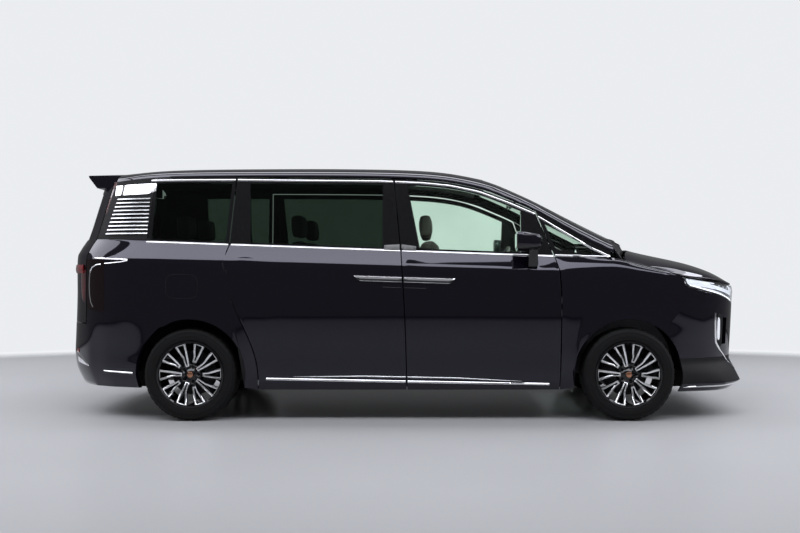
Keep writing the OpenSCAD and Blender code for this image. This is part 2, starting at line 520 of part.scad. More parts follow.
module wing_mirror() {
  function at(i, j, back) =
    let (u = i / 3 - 1, v = j / 3 - 1, y = hw + 44 + 82 * u * sqrt(1 - v * v * 0.32),
      z = 1307 + 70 * v * sqrt(1 - u * u * 0.32) + 8 * u, r = (1 - pow(u, 4)) * (1 - pow(v, 4)))
    [back ? mirror_x - 88 : mirror_x - 30 + 128 * pow(r, 0.5) - 22 * u, y, z];
  x0 = mirror_x + 36;
  shell(
    [for (j = [0 : 6]) [for (i = [6 : -1 : 0]) at(i, j, false)]],
    [for (j = [0 : 6]) [for (i = [6 : -1 : 0]) at(i, j, true)]]);
  translate([x0 - 34, 0, 0]) rotate([90, 0, 90]) linear_extrude(height = 66) polygon([
    [side_y(x0, 1118) + 0.9, 1118], [side_y(x0, 1118) + 22, 1126], [hw + 46, 1248], [hw + 40, 1290], [hw - 10, 1290],
    [hw - 14, 1240], [side_y(x0, 1172) + 0.9, 1172]]);
}

// Structure under the panels
king_top = hub_z + 132;
pad_x = [fa - 560, ra + 560];
wall_x = fa - 484;
axis_x = fore_x(850);
axis_y = side_y(axis_x, 900);
pin_r = seam / 2 - seat_gap;
leaf_x = pin_r - 0.7;
floor_y = hw - 232;
tail_floor_y = track / 2 - tyre_w / 2 - 67.5;
liner_r = arch_r + 35;
rail_y = king_y - 245;
hub_y = track / 2;
seat_y = hw * 0.3892;
front_seat = fa - 1420;
rear_seat = ra - 130;
module slab(x0, x1, y0, y1, z0, z1) {
  translate([x0, y0, z0]) cube([x1 - x0, y1 - y0, z1 - z0]);
}
module floor_pan() {
  color("#26262a") union() {
    slab(ra + 450, wall_x, -floor_y, floor_y, floor_z - floor_t, floor_z);
    slab(rear_end + 220, ra + 451, -tail_floor_y, tail_floor_y, floor_z - floor_t, floor_z);
    slab(wall_x - 50, wall_x, -floor_y + 60, floor_y - 60, floor_z - 1, 1130);
    slab(wall_x - 900, wall_x - 40, -70, 70, floor_z - 1, floor_z + 60);
  }
}
module side_frames() {
  color("#1b1b1f") both() {
    union() {
      slab(ra + 520, wall_x + 36, floor_y + seat_gap, hw - 160, sill_z + 16, 330);
      slab(wall_x + 2, wall_x + 36, floor_y + seat_gap, hw - 97, sill_z + 16, 1120);
      for (x = pad_x) slab(x - 60, x + 60, hw - 222, hw - 168, sill_z - 4, sill_z + 20);
      shell(
        [for (j = [2 : 3]) [for (i = [5 : 6]) let (p = door_xz(1, i, j)) side(p[0], p[1], door_t + seat_gap)]],
        [for (j = [2 : 3]) [for (i = [5 : 6]) let (p = door_xz(1, i, j)) side(p[0], p[1], door_t + 45)]]);
      for (z = [790, 880]) {
        slab(axis_x - leaf_x, axis_x + leaf_x, hw - 122, axis_y, z - 24, z + 24);
        slab(axis_x - leaf_x, wall_x + 4, hw - 122, hw - 62, z - 24, z + 24);
        translate([axis_x, axis_y, z - 24]) cylinder(r = pin_r, h = 48);
      }
    }
    post();
  }
}
module post() {
  function at(i, j, t) =
    let (x = split_x(1000) + (i - 0.5) * 110, z = [330 + seat_gap, 700, 1000, belt_z, rail_up(0.604), rail_up(0.868)][min(j, 5)],
      w = max(0, z - belt_z) / (rail_z - belt_z - 30), y = 32.2 + seat_gap, v = t == 0 ? 0.1 : 0.9,
      u = min(1, max(0, (x - 40 - rail_x[9]) / (rail_x[10] - rail_x[9]))))
    j == 6 ? mix(mix(rail_pt(9, 0, y), rail_pt(9, 1, y), v), mix(rail_pt(10, 0, y), rail_pt(10, 1, y), v), u) :
    side(x - 34 * w, z, mix(door_t, frame_t, min(1, w * 2)) + 14 + t);
  shell(
    [for (j = [0 : 6]) [for (i = [0 : 1]) at(i, j, 0)]],
    [for (j = [0 : 6]) [for (i = [0 : 1]) at(i, j, 34)]]);
}
module liner(cx, y0, y1, wall) {
  translate([cx, y0, hub_z]) rotate([-90, 0, 0]) difference() {
    cylinder(r = liner_r + 6, h = y1 - y0);
    translate([0, 0, wall ? 8 : -1]) cylinder(r = liner_r, h = y1 - y0 + 2);
    translate([-liner_r - 9, 0, -1]) cube([2 * liner_r + 18, liner_r + 9, y1 - y0 + 2]);
    if (wall) translate([0, 0, -1]) cylinder(r = 70, h = 20);
    else translate([300, -liner_r - 9, hw - 170 - y0]) cube([200, liner_r + 10, 90]);
  }
}
module wheel_liners() {
  color("#131315") both() {
    liner(fa, rail_y + seat_gap, hw - 130, false);
    liner(ra, tail_floor_y + seat_gap, hw - 120, true);
  }
}
module front_subframe() {
  color("#2a2a2e") union() {
    both() slab(wall_x + seat_gap, front_end - 210, rail_y - 70, rail_y, 300, 430);
    slab(fa - 90, fa + 90, -rail_y, rail_y, 205, 301);
    slab(front_end - 230, front_end - 180, -rail_y, rail_y, 300, 470);
    both() difference() {
      union() {
        slab(fa - 26, fa + 26, rail_y - 30, king_y + 20, hub_z - 150, hub_z - 128);
        slab(fa - 40, fa + 40, rail_y - 30, rail_y, hub_z - 150, 301);
        slab(fa - 26, fa + 26, rail_y - 30, king_y + 20, king_top, king_top + 22);
        slab(fa - 40, fa + 40, rail_y - 30, rail_y, 420, king_top + 22);
      }
      translate([fa, king_y, 0]) cylinder(r = 16 + seat_gap, h = 900);
    }
  }
}
module knuckle() {
  color("#4a4a4e") union() {
    translate([fa, king_y, hub_z - 149]) cylinder(r = 16, h = king_top + 170 - hub_z);
    translate([fa, king_y, hub_z - 128 + seat_gap]) cylinder(r = 28, h = king_top - hub_z + 128 - 2 * seat_gap);
    translate([fa, king_y, hub_z]) rotate([-90, 0, 0]) cylinder(r = spindle_r, h = track / 2 + 12 - king_y);
    slab(fa - 158, fa, king_y - 14, king_y + 14, hub_z - 22, hub_z + 22);
    slab(fa - 158, fa - 96, king_y - 14, king_y + 29, hub_z - 75, hub_z + 75);
  }
}
module rear_axle() {
  color("#2a2a2e") union() {
    slab(ra - 45, ra + 45, 220 - hub_y, hub_y - 220, 235, 320);
    both() {
      slab(ra - 45, ra + 620, hub_y - 270, hub_y - 210, 262, floor_z - floor_t - seat_gap);
      slab(ra - 45, ra + 45, hub_y - 220, hub_y - 120, 262, 330);
      slab(ra - 45, ra + 45, hub_y - 164, hub_y - 120, 262, 382);
      translate([ra, hub_y - 160, hub_z]) rotate([-90, 0, 0]) cylinder(r = spindle_r, h = 172);
    }
  }
}
module engine_block() {
  color("#3a3a3e") slab(fa - 300, fa + 520, 90 - rail_y, rail_y - 90, 301 + seat_gap, 960);
}
module exhaust() {
  color("#6d6d70") union() {
    translate([fa - 500, -260, 292]) rotate([0, -90, 0]) cylinder(r = 34, h = wheelbase - 760);
    for (x = [fa - 900, ra + 500]) slab(x, x + 40, -280, -240, 292, floor_z - floor_t - seat_gap);
    slab(ra - 700, ra - 120, -480, -180, 238, floor_z - floor_t - seat_gap);
  }
}

// Wheels, built about the +Y side and turned for the other one
module tyre() {
  rotate([-90, 0, 0]) rotate_extrude($fn = 96) polygon([
    [rim_d / 2 - 7.5, -93], [rim_d / 2 + 4, -100], [rim_d / 2 + 30, -tyre_w / 2 + 1], [rim_d / 2 + 66, -tyre_w / 2],
    [tyre_d / 2 - 13, -tyre_w / 2 + 13], [tyre_d / 2 - 2, -tyre_w / 2 + 32], [tyre_d / 2, -tyre_w / 2 + 60],
    [tyre_d / 2, tyre_w / 2 - 60], [tyre_d / 2 - 2, tyre_w / 2 - 32], [tyre_d / 2 - 13, tyre_w / 2 - 13],
    [rim_d / 2 + 66, tyre_w / 2], [rim_d / 2 + 30, tyre_w / 2 - 1], [rim_d / 2 + 4, 100], [rim_d / 2 - 7.5, 93]]);
}
module petal(ri, r0) {
  polygon([[r0, -14], [r0, -3.5], [ri - 16, -20], [ri - 15, 27], [128, 3.5], [r0, 3.5], [r0, 12], [122, 13],
    [ri - 7, 47], [ri - 4, 0], [ri - 6, -37]]);
  polygon([[r0 + 8, -6], [r0, -6], [r0, 6], [r0 + 8, 6]]);
}
module rim() {
  ri = rim_d / 2 - 7.5 - seat_gap;
  difference() {
    union() {
      rotate([-90, 0, 0]) rotate_extrude($fn = 96) polygon([
        [ri - 11, -103], [rim_d / 2 - 1, -103], [rim_d / 2 - 1, -97.5], [ri, -93 - seat_gap], [ri, 93 + seat_gap],
        [rim_d / 2 - 1, 97.5], [rim_d / 2 - 1, 103], [ri - 4, 103], [ri - 11, 96]]);
      translate([0, 66, 0]) rotate([-90, 0, 0]) linear_extrude(height = 26) for (k = [0 : spokes - 1])
        rotate(k * 360 / spokes) petal(ri, k % 2 == 0 ? 60 : 92);
      translate([0, 60, 0]) rotate([-90, 0, 0]) linear_extrude(height = 14) for (k = [0 : spokes - 1])
        rotate(k * 360 / spokes) polygon([[50, -11], [50, 11], [125, 11], [ri - 4, 40], [ri - 4, -34]]);
      translate([0, -62, 0]) rotate([-90, 0, 0]) cylinder(r = 76, h = 148);
      translate([0, -60, 0]) rotate([-90, 0, 0]) cylinder(r = 158, h = 22);
    }
    translate([0, -70, 0]) rotate([-90, 0, 0]) cylinder(r = spindle_r + seat_gap, h = 90);
    for (k = [0 : 4]) rotate([0, k * 72 + 36, 0]) translate([57, 74, 0]) rotate([-90, 0, 0]) cylinder(r = 11, h = 20);
  }
}
module wheel_at(x, s) {
  translate([x, s * track / 2, hub_z]) rotate([0, 0, s > 0 ? 0 : 180]) children();
}

// Cabin
module seat(x0, y0, w) {
  module slice(y, points) {
    translate([x0, y0 + y / 2, 0]) rotate([90, 0, 0]) linear_extrude(height = y) polygon(points);
  }
  slice(w, [[60, floor_z + seat_gap], [430, floor_z + seat_gap], [440, 610], [520, 640], [530, 730], [470, 765],
    [120, 735], [20, 700], [20, 620]]);
  slice(w, [[20, 700 + seat_gap], [120, 735 + seat_gap], [0, 1330], [-60, 1350], [-110, 1330], [-20, 700 + seat_gap]]);
  slice(w * 0.54, [[-18, 1350 + seat_gap], [-14, 1500], [-50, 1525], [-105, 1510], [-112, 1350 + seat_gap]]);
}
module dashboard() {
  color("#222024") union() {
    translate([0, floor_y - 130, 0]) rotate([90, 0, 0]) linear_extrude(height = 2 * floor_y - 260) polygon([
      [wall_x - 50 - seat_gap, 760], [wall_x - 50 - seat_gap, 1140], [wall_x - 120, 1175], [wall_x - 260, 1160],
      [wall_x - 330, 1080], [wall_x - 250, 800]]);
    slab(wall_x - 330, wall_x - 120, -110, 110, floor_z + 60 + seat_gap, 800);
  }
}
module steering_wheel() {
  color("#1a191c") translate([wall_x - 346, seat_y, 1120]) rotate([0, -66, 0]) union() {
    rotate_extrude($fn = 64) translate([wheel_r, 0]) circle(r = 15, $fn = 20);
    translate([0, 0, -30.6]) cylinder(r = 34, h = 42.6);
    for (a = [0, 120, 240]) rotate(a + 60) translate([0, -14, -8]) cube([wheel_r, 28, 16]);
  }
}
module hood_hinges() {
  z = hood_z(fa - 4, 0.96);
  color("#2a2a2e") both() union() {
    slab(fa - 4 - seam / 2 - leaf_x, fa - 4 - seam / 2 + leaf_x, hw - 186, hw - 150, hub_z + liner_r + 6 + seat_gap, z);
    translate([fa - 4 - seam / 2, hw - 186, z]) rotate([-90, 0, 0]) cylinder(r = pin_r, h = 36);
  }
}
module gate_hinges() {
  z = over(roof_end, 75)[2];
  color("#2a2a2e") both() union() {
    slab(roof_end - seam / 2 - leaf_x, roof_end - seam / 2 + leaf_x, 180, 240, z - 60, z);
    translate([roof_end - seam / 2, 180, z]) rotate([-90, 0, 0]) cylinder(r = pin_r, h = 60);
  }
}

paint = "#1d1a24";
floor_pan();
side_frames();
roof();
rails();  // roof_rails
windshield();
cowl();
color("#141418") vent_frames();
color(paint) both() quarter();  // rear_quarters
color("#39433f") both() { quarter_pane(); vent_pane(); }  // fixed_side_glass
color(paint) both() fender();  // front_fenders
front_bumper();
grille();
headlamps();
rear_bumper();
tail_lamps();
color(paint) door(1);  // sliding_door_left
color(paint) mirror([0, 1, 0]) door(1);  // sliding_door_right
color("#39433f") both() door_pane(1);  // sliding_door_glass
color("#b9b7b8") both() blade(fa - 1983, split_x(1030) - seam, 18, 0);  // sliding_door_handles
color("#c9c9cc") both() louvers();  // pillar_louvers
wheel_liners();
front_subframe();
rear_axle();
engine_block();
exhaust();
dashboard();
steering_wheel();
color("#3a332e") for (y = [-seat_y, seat_y]) seat(front_seat, y, seat_w);  // front_seats
color("#3a332e") for (y = [-seat_y, seat_y])  // middle_seats
  seat(mix(front_seat, rear_seat, 0.5236), y, seat_w * 1.077);
color("#3a332e") for (y = [-0.82, 0.82] * seat_y)  // rear_seats
  seat(rear_seat, y, seat_w * 1.154);
hood_hinges();
gate_hinges();  // tailgate_hinges
knuckle();  // knuckle_left
mirror([0, 1, 0]) knuckle();  // knuckle_right
hood();
tailgate();
tailgate_glass();
tailgate_lamp();
roof_spoiler();
color(paint) door(0);  // front_door_left
color(paint) mirror([0, 1, 0]) door(0);  // front_door_right
color("#5f6f6a") door_pane(0);  // front_door_glass_left
color("#5f6f6a") mirror([0, 1, 0]) door_pane(0);  // front_door_glass_right
color(paint) wing_mirror();  // mirror_left
color(paint) mirror([0, 1, 0]) wing_mirror();  // mirror_right
color("#b9b7b8") blade(split_x(1030) + seam, fa - 1288, 0, 18);  // front_handle_left
color("#b9b7b8") mirror([0, 1, 0]) blade(split_x(1030) + seam, fa - 1288, 0, 18);  // front_handle_right
color("#1a1a1a") wheel_at(fa, 1) tyre();  // tyre_front_left
color("#1a1a1a") wheel_at(fa, -1) tyre();  // tyre_front_right
color("#1a1a1a") wheel_at(ra, 1) tyre();  // tyre_rear_left
color("#1a1a1a") wheel_at(ra, -1) tyre();  // tyre_rear_right
color("#9a9a9e") wheel_at(fa, 1) rim();  // rim_front_left
color("#9a9a9e") wheel_at(fa, -1) rim();  // rim_front_right
color("#9a9a9e") wheel_at(ra, 1) rim();  // rim_rear_left
color("#9a9a9e") wheel_at(ra, -1) rim();  // rim_rear_right
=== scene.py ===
import json
import math
import bmesh
import bpy
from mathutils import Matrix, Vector
from mathutils.bvhtree import BVHTree
from mathutils.kdtree import KDTree

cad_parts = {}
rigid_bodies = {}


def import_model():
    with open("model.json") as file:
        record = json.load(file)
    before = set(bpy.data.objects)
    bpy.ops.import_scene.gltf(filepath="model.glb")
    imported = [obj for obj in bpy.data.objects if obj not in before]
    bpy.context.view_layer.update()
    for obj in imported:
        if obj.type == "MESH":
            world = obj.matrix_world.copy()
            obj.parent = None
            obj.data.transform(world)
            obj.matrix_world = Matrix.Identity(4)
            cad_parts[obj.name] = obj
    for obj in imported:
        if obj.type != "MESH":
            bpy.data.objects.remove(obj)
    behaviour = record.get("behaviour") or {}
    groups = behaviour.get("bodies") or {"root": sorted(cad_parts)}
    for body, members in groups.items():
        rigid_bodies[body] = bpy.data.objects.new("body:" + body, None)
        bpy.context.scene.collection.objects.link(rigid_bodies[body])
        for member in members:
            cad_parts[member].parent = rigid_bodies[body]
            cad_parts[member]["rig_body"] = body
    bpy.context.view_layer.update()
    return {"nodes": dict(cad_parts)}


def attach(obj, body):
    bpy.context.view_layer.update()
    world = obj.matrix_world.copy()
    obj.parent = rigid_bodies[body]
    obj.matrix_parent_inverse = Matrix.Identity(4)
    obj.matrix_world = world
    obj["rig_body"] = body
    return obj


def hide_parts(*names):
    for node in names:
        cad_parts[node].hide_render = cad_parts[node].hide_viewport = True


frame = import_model()
nodes = frame["nodes"]
bpy.ops.object.select_all(action="DESELECT")
print("stage: frame loaded,", len(nodes), "nodes")

# lines of the body that the trim follows, in metres
body = {
    "frontAxle": 1.644,
    "rearAxle": -1.556,
    "hubHeight": 0.338,
    "track": 1.720,
    "tyreRadius": 0.338,
    "rimRadius": 0.2450,
    "beltHeight": 1.240,
    "beltSlope": 0.0356,
    "railHeight": 1.770,
}


def beltAt(x):
    return body["beltHeight"] - body["beltSlope"] * x


# the line over the side windows: way from an axle and drop from the rail's height
railFromRear = [(-0.734, -0.035), (-0.294, -0.002), (0.319, 0.0)]
railFromFront = [
    (-1.824, -0.009), (-1.510, -0.022), (-1.299, -0.043), (-1.088, -0.088), (-0.877, -0.168),
    (-0.670, -0.259), (-0.462, -0.386), (-0.263, -0.506), (-0.106, -0.578),
]
railLine = [(body["rearAxle"] + x, drop) for x, drop in railFromRear]
railLine += [(body["frontAxle"] + x, drop) for x, drop in railFromFront]


def railAt(x):
    for (x0, d0), (x1, d1) in zip(railLine, railLine[1:]):
        if x <= x1:
            return body["railHeight"] + d0 + (d1 - d0) * (x - x0) / (x1 - x0)
    return body["railHeight"] + railLine[-1][1]


# node helpers for the finishes
def fill(node, values):
    for socket, value in values.items():
        node.inputs[socket].default_value = value


def newFinish(name, color, rough, metal=0.0):
    mat = bpy.data.materials.new(name)
    mat.use_nodes = True
    tree = mat.node_tree
    shader = tree.nodes["Principled BSDF"]
    fill(shader, {"Base Color": (*color, 1.0), "Roughness": rough, "Metallic": metal})
    mat.diffuse_color = (*color, 1.0)
    return mat, tree, shader


def place(tree, scale=(1, 1, 1)):
    coord = tree.nodes.new("ShaderNodeTexCoord")
    mapping = tree.nodes.new("ShaderNodeMapping")
    mapping.inputs["Scale"].default_value = scale
    tree.links.new(coord.outputs["Object"], mapping.inputs["Vector"])
    return mapping.outputs["Vector"]


def grain(tree, where, scale, detail=4.0):
    noise = tree.nodes.new("ShaderNodeTexNoise")
    fill(noise, {"Scale": scale, "Detail": detail})
    tree.links.new(where, noise.inputs["Vector"])
    return noise.outputs["Fac"]


def ramp(tree, value, low, high, start=0.3, end=0.7):
    node = tree.nodes.new("ShaderNodeValToRGB")
    node.color_ramp.elements[0].position = start
    node.color_ramp.elements[0].color = (*low, 1.0)
    node.color_ramp.elements[1].position = end
    node.color_ramp.elements[1].color = (*high, 1.0)
    tree.links.new(value, node.inputs["Fac"])
    return node.outputs["Color"]


def spread(tree, value, low, high):
    node = tree.nodes.new("ShaderNodeMapRange")
    fill(node, {"To Min": low, "To Max": high})
    tree.links.new(value, node.inputs["Value"])
    return node.outputs["Result"]


def emboss(tree, shader, value, strength, distance):
    bump = tree.nodes.new("ShaderNodeBump")
    fill(bump, {"Strength": strength, "Distance": distance})
    tree.links.new(value, bump.inputs["Height"])
    tree.links.new(bump.outputs["Normal"], shader.inputs["Normal"])


def surfaceFinish(name, low, high, rough, metal=0.0, scale=40.0, bump=(0.0, 0.0), shine=0.5,
                  stretch=(1, 1, 1)):
    mat, tree, shader = newFinish(name, high, sum(rough) / 2, metal)
    shader.inputs["Specular IOR Level"].default_value = shine
    value = grain(tree, place(tree, stretch), scale)
    tree.links.new(ramp(tree, value, low, high), shader.inputs["Base Color"])
    tree.links.new(spread(tree, value, *rough), shader.inputs["Roughness"])
    if bump[0]:
        emboss(tree, shader, value, *bump)
    return mat


paintMake = {
    "base": (0.0065, 0.0050, 0.0095), "dark": (0.0022, 0.0016, 0.0034), "rough": 0.035,
    "flakeScale": 1400.0, "flakeEdges": (0.1, 0.8), "peelScale": 320.0, "peelDetail": 2.0,
    "peelBump": (0.02, 0.0004),
    "shader": {"Specular IOR Level": 0.40, "Specular Tint": (0.84, 0.84, 1.0, 1.0), "Coat Weight": 0.15,
               "Coat Roughness": 0.02},
}


def paintFinish():
    how = paintMake
    mat, tree, shader = newFinish("violetBlackPaint", how["base"], how["rough"])
    where = place(tree)
    flake = tree.nodes.new("ShaderNodeTexVoronoi")
    flake.inputs["Scale"].default_value = how["flakeScale"]
    tree.links.new(where, flake.inputs["Vector"])
    tone = ramp(tree, flake.outputs["Distance"], how["base"], how["dark"], *how["flakeEdges"])
    tree.links.new(tone, shader.inputs["Base Color"])
    fill(shader, how["shader"])
    emboss(tree, shader, grain(tree, where, how["peelScale"], how["peelDetail"]), *how["peelBump"])
    return mat


glassMake = {"rough": 0.0, "ior": 1.2, "hazeScale": 3.0, "hazeDetail": 2.0, "hazeShare": 0.94}


def glassFinish(name, tint):
    mat, tree, shader = newFinish(name, tint, glassMake["rough"])
    where = place(tree)
    fill(shader, {"Transmission Weight": 1.0, "IOR": glassMake["ior"]})
    haze = grain(tree, where, glassMake["hazeScale"], glassMake["hazeDetail"])
    low = tuple(c * glassMake["hazeShare"] for c in tint)
    tree.links.new(ramp(tree, haze, low, tint), shader.inputs["Base Color"])
    return mat


lensMake = {"rough": 0.06, "ribScale": 60.0, "ribBump": (0.15, 0.001)}


def lensFinish(name, low, high, clear):
    mat, tree, shader = newFinish(name, high, lensMake["rough"])
    where = place(tree)
    rib = tree.nodes.new("ShaderNodeTexWave")
    rib.bands_direction = "Z"
    rib.inputs["Scale"].default_value = lensMake["ribScale"]
    tree.links.new(where, rib.inputs["Vector"])
    tree.links.new(ramp(tree, rib.outputs["Fac"], low, high), shader.inputs["Base Color"])
    fill(shader, {"Transmission Weight": clear, "Coat Weight": 1.0})
    emboss(tree, shader, rib.outputs["Fac"], *lensMake["ribBump"])
    return mat


# emission with a little grain: a lit lamp for the light bar, a painted glow for the reflectors
glowMake = {"rough": 0.2, "grainScale": 160.0, "dimShare": 0.85}


def glowFinish(name, color, strength):
    mat, tree, shader = newFinish(name, color, glowMake["rough"])
    value = grain(tree, place(tree), glowMake["grainScale"])
    low = tuple(c * glowMake["dimShare"] for c in color)
    tree.links.new(ramp(tree, value, low, color), shader.inputs["Base Color"])
    fill(shader, {"Emission Color": (*color, 1.0), "Emission Strength": strength})
    return mat


leatherMake = {
    "color": (0.075, 0.058, 0.048), "low": (0.055, 0.043, 0.036), "high": (0.085, 0.066, 0.055),
    "rough": 0.5, "toneScale": 9.0, "cellScale": 420.0, "cellBump": (0.35, 0.0006),
}


def leatherFinish():
    how = leatherMake
    mat, tree, shader = newFinish("seatLeather", how["color"], how["rough"])
    where = place(tree)
    cells = tree.nodes.new("ShaderNodeTexVoronoi")
    cells.feature = "DISTANCE_TO_EDGE"
    cells.inputs["Scale"].default_value = how["cellScale"]
    tree.links.new(where, cells.inputs["Vector"])
    tone = ramp(tree, grain(tree, where, how["toneScale"]), how["low"], how["high"])
    tree.links.new(tone, shader.inputs["Base Color"])
    emboss(tree, shader, cells.outputs["Distance"], *how["cellBump"])
    return mat


# name, dark and light tone, roughness, metal, scale of the grain, bump, shine, stretch
surfaceLooks = {
    "gloss": ("glossBlackTrim", (0.004, 0.004, 0.005), (0.007, 0.007, 0.008), (0.04, 0.09)),
    "chrome": ("brightChrome", (0.78, 0.78, 0.80), (0.88, 0.88, 0.90), (0.04, 0.10), 1.0, 25.0),
    "satin": ("satinSilver", (0.52, 0.53, 0.54), (0.66, 0.67, 0.68), (0.22, 0.36), 1.0, 30.0),
    "machined": ("machinedFace", (0.70, 0.71, 0.72), (0.86, 0.87, 0.88), (0.20, 0.34), 1.0, 18.0,
                 (0.08, 0.0004), 0.5, (1, 1, 40)),
    "copper": ("copperTint", (0.42, 0.20, 0.12), (0.55, 0.28, 0.18), (0.18, 0.3), 1.0, 40.0),
    "plastic": ("grainedPlastic", (0.007, 0.007, 0.008), (0.014, 0.014, 0.015), (0.55, 0.75), 0.0, 380.0,
                (0.25, 0.0006), 0.2),
    "liner": ("feltLiner", (0.006, 0.006, 0.006), (0.014, 0.014, 0.014), (0.85, 0.98), 0.0, 240.0,
              (0.5, 0.002), 0.1),
    "carpet": ("cabinCarpet", (0.014, 0.013, 0.014), (0.030, 0.028, 0.029), (0.9, 1.0), 0.0, 520.0,
               (0.7, 0.003)),
    "steel": ("coatedSteel", (0.020, 0.020, 0.022), (0.034, 0.034, 0.036), (0.4, 0.6), 0.3, 60.0,
              (0.1, 0.001)),
    "iron": ("castIron", (0.12, 0.12, 0.125), (0.22, 0.22, 0.23), (0.5, 0.75), 0.8, 130.0, (0.3, 0.001)),
    "rubber": ("tyreRubber", (0.0045, 0.0045, 0.0048), (0.0085, 0.0085, 0.0085), (0.6, 0.8), 0.0, 300.0,
               (0.2, 0.0005), 0.18),
    "smoke": ("smokedLens", (0.004, 0.0015, 0.002), (0.008, 0.002, 0.003), (0.02, 0.05), 0.0, 90.0,
              (0.0, 0.0), 0.35),
    "headliner": ("headlinerCloth", (0.20, 0.19, 0.18), (0.27, 0.26, 0.25), (0.85, 0.98), 0.0, 420.0,
                  (0.3, 0.001)),
    "mirror": ("mirrorGlass", (0.80, 0.82, 0.84), (0.86, 0.88, 0.90), (0.01, 0.03), 1.0, 12.0),
}
finish = {key: surfaceFinish(*look) for key, look in surfaceLooks.items()}
finish.update({
    "paint": paintFinish(),
    "leather": leatherFinish(),
    "clear": glassFinish("paleGreenGlass", (0.80, 0.93, 0.84)),
    "privacy": glassFinish("privacyGlass", (0.125, 0.168, 0.138)),
    "lens": glassFinish("lampLens", (0.95, 0.97, 1.0)),
    "red": lensFinish("redLens", (0.16, 0.004, 0.006), (0.30, 0.010, 0.014), 0.25),
    "edgeRed": lensFinish("edgeRedLens", (0.050, 0.004, 0.005), (0.085, 0.006, 0.008), 0.1),
    # the reflectors glow with no lamp behind them: a painted white reflection
    "reflector": glowFinish("brightReflector", (0.80, 0.82, 0.86), 0.34),
    "led": glowFinish("whiteLightBar", (0.95, 0.97, 1.0), 1.2),
})
print("stage: finishes made,", len(finish))


# turns a faceted panel into a smooth one that still runs through its own corners
panelWay = {
    "weld": 2e-5, "joinTurn": 40.0, "joinShape": 80.0, "hardAngle": 45.0, "softAngle": 20.0,
    "softCrease": 0.5, "levels": 2, "fits": 3, "shade": 32.0, "ironHold": 22.0, "ironShare": 0.5,
}


def copyOf(name, label):
    source = nodes[name]
    piece = bpy.data.objects.new(label, source.data.copy())
    piece.data.materials.clear()
    bpy.context.scene.collection.objects.link(piece)
    mesh = bmesh.new()
    mesh.from_mesh(piece.data)
    bmesh.ops.remove_doubles(mesh, verts=mesh.verts, dist=panelWay["weld"])
    mesh.to_mesh(piece.data)
    mesh.free()
    return piece


def makeActive(piece):
    bpy.ops.object.select_all(action="DESELECT")
    piece.select_set(True)
    bpy.context.view_layer.objects.active = piece


def applyAll(piece):
    makeActive(piece)
    for modifier in list(piece.modifiers):
        bpy.ops.object.modifier_apply(modifier=modifier.name)


def shadeByAngle(piece, angle):
    makeActive(piece)
    bpy.ops.object.shade_smooth_by_angle(angle=math.radians(angle))


def bevelEdges(piece, width, steps):
    bevel = piece.modifiers.new("edge", "BEVEL")
    bevel.width, bevel.segments = width, steps
    applyAll(piece)


def creaseOf(edge):
    turn = math.degrees(edge.calc_face_angle(math.pi))
    if turn > panelWay["hardAngle"]:
        return 1.0
    return panelWay["softCrease"] if turn > panelWay["softAngle"] else 0.0


def smoothPanel(name, label):
    piece = copyOf(name, label)
    mesh = bmesh.new()
    mesh.from_mesh(piece.data)
    bmesh.ops.join_triangles(mesh, faces=mesh.faces, cmp_seam=False, cmp_sharp=False, cmp_uvs=False,
                             cmp_vcols=False, cmp_materials=False,
                             angle_face_threshold=math.radians(panelWay["joinTurn"]),
                             angle_shape_threshold=math.radians(panelWay["joinShape"]))
    crease = mesh.edges.layers.float.new("crease_edge")
    for edge in mesh.edges:
        edge[crease] = creaseOf(edge)
    mesh.to_mesh(piece.data)
    mesh.free()
    modifier = piece.modifiers.new("round", "SUBSURF")
    modifier.levels = modifier.render_levels = panelWay["levels"]
    corners = [v.co.copy() for v in piece.data.vertices]
    for step in range(panelWay["fits"]):
        graph = bpy.context.evaluated_depsgraph_get()
        shown = piece.evaluated_get(graph)
        rounded = shown.to_mesh()
        moved = [corners[i] - rounded.vertices[i].co for i in range(len(corners))]
        shown.to_mesh_clear()
        for vertex, shift in zip(piece.data.vertices, moved):
            vertex.co += shift
        piece.data.update()
    applyAll(piece)
    shadeByAngle(piece, panelWay["shade"])
    return piece


def ironPanel(piece, rounds):
    # calms the small waves of a large panel and leaves its edges where they are
    mesh = bmesh.new()
    mesh.from_mesh(piece.data)
    sharp = math.radians(panelWay["ironHold"])
    held = {v for e in mesh.edges if e.calc_face_angle(0.0) > sharp for v in e.verts}
    free = [v for v in mesh.verts if v not in held]
    for step in range(rounds):
        bmesh.ops.smooth_vert(mesh, verts=free, factor=panelWay["ironShare"], use_axis_x=True,
                              use_axis_y=True, use_axis_z=True)
    mesh.to_mesh(piece.data)
    mesh.free()


def bodyOf(name):
    return nodes[name]["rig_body"]


def dress(piece, mats, slot, body, replaced=()):
    for mat in mats:
        piece.data.materials.append(finish[mat])
    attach(piece, body)
    if replaced:
        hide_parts(*replaced)
    return piece


def paintFaces(piece, rule):
    for face in piece.data.polygons:
        face.material_index = rule(face.center, face.normal)


# where the finishes of a panel change, in metres, and how far a face has to turn for that
change = {
    "overBelt": 0.012, "inward": -0.3, "redFoot": -2.330, "redHeight": 1.30, "redLean": 0.30,
    "redTurn": -0.3, "louverEnd": -1.875, "roofUnder": -0.5, "chinTop": 0.45, "chinTurn": -0.35,
    "hoodUnder": -0.4, "gateInward": 0.4, "mirrorSplit": 1.283, "clearFrom": 0.5,
}


def overBelt(c):
    return c.z > beltAt(c.x) + change["overBelt"]


def panelFinish(c, n):
    if n.y * c.y < change["inward"] * abs(c.y):
        return 2
    return 1 if overBelt(c) else 0


def quarterFinish(c, n):
    # the red edge of the rear pillar leans forward to the roof
    redEnd = change["redFoot"] + change["redLean"] * (c.z - change["redHeight"])
    if overBelt(c) and c.x < redEnd and n.x < change["redTurn"]:
        return 3
    if overBelt(c) and c.x < change["louverEnd"]:
        return 2
    return panelFinish(c, n)


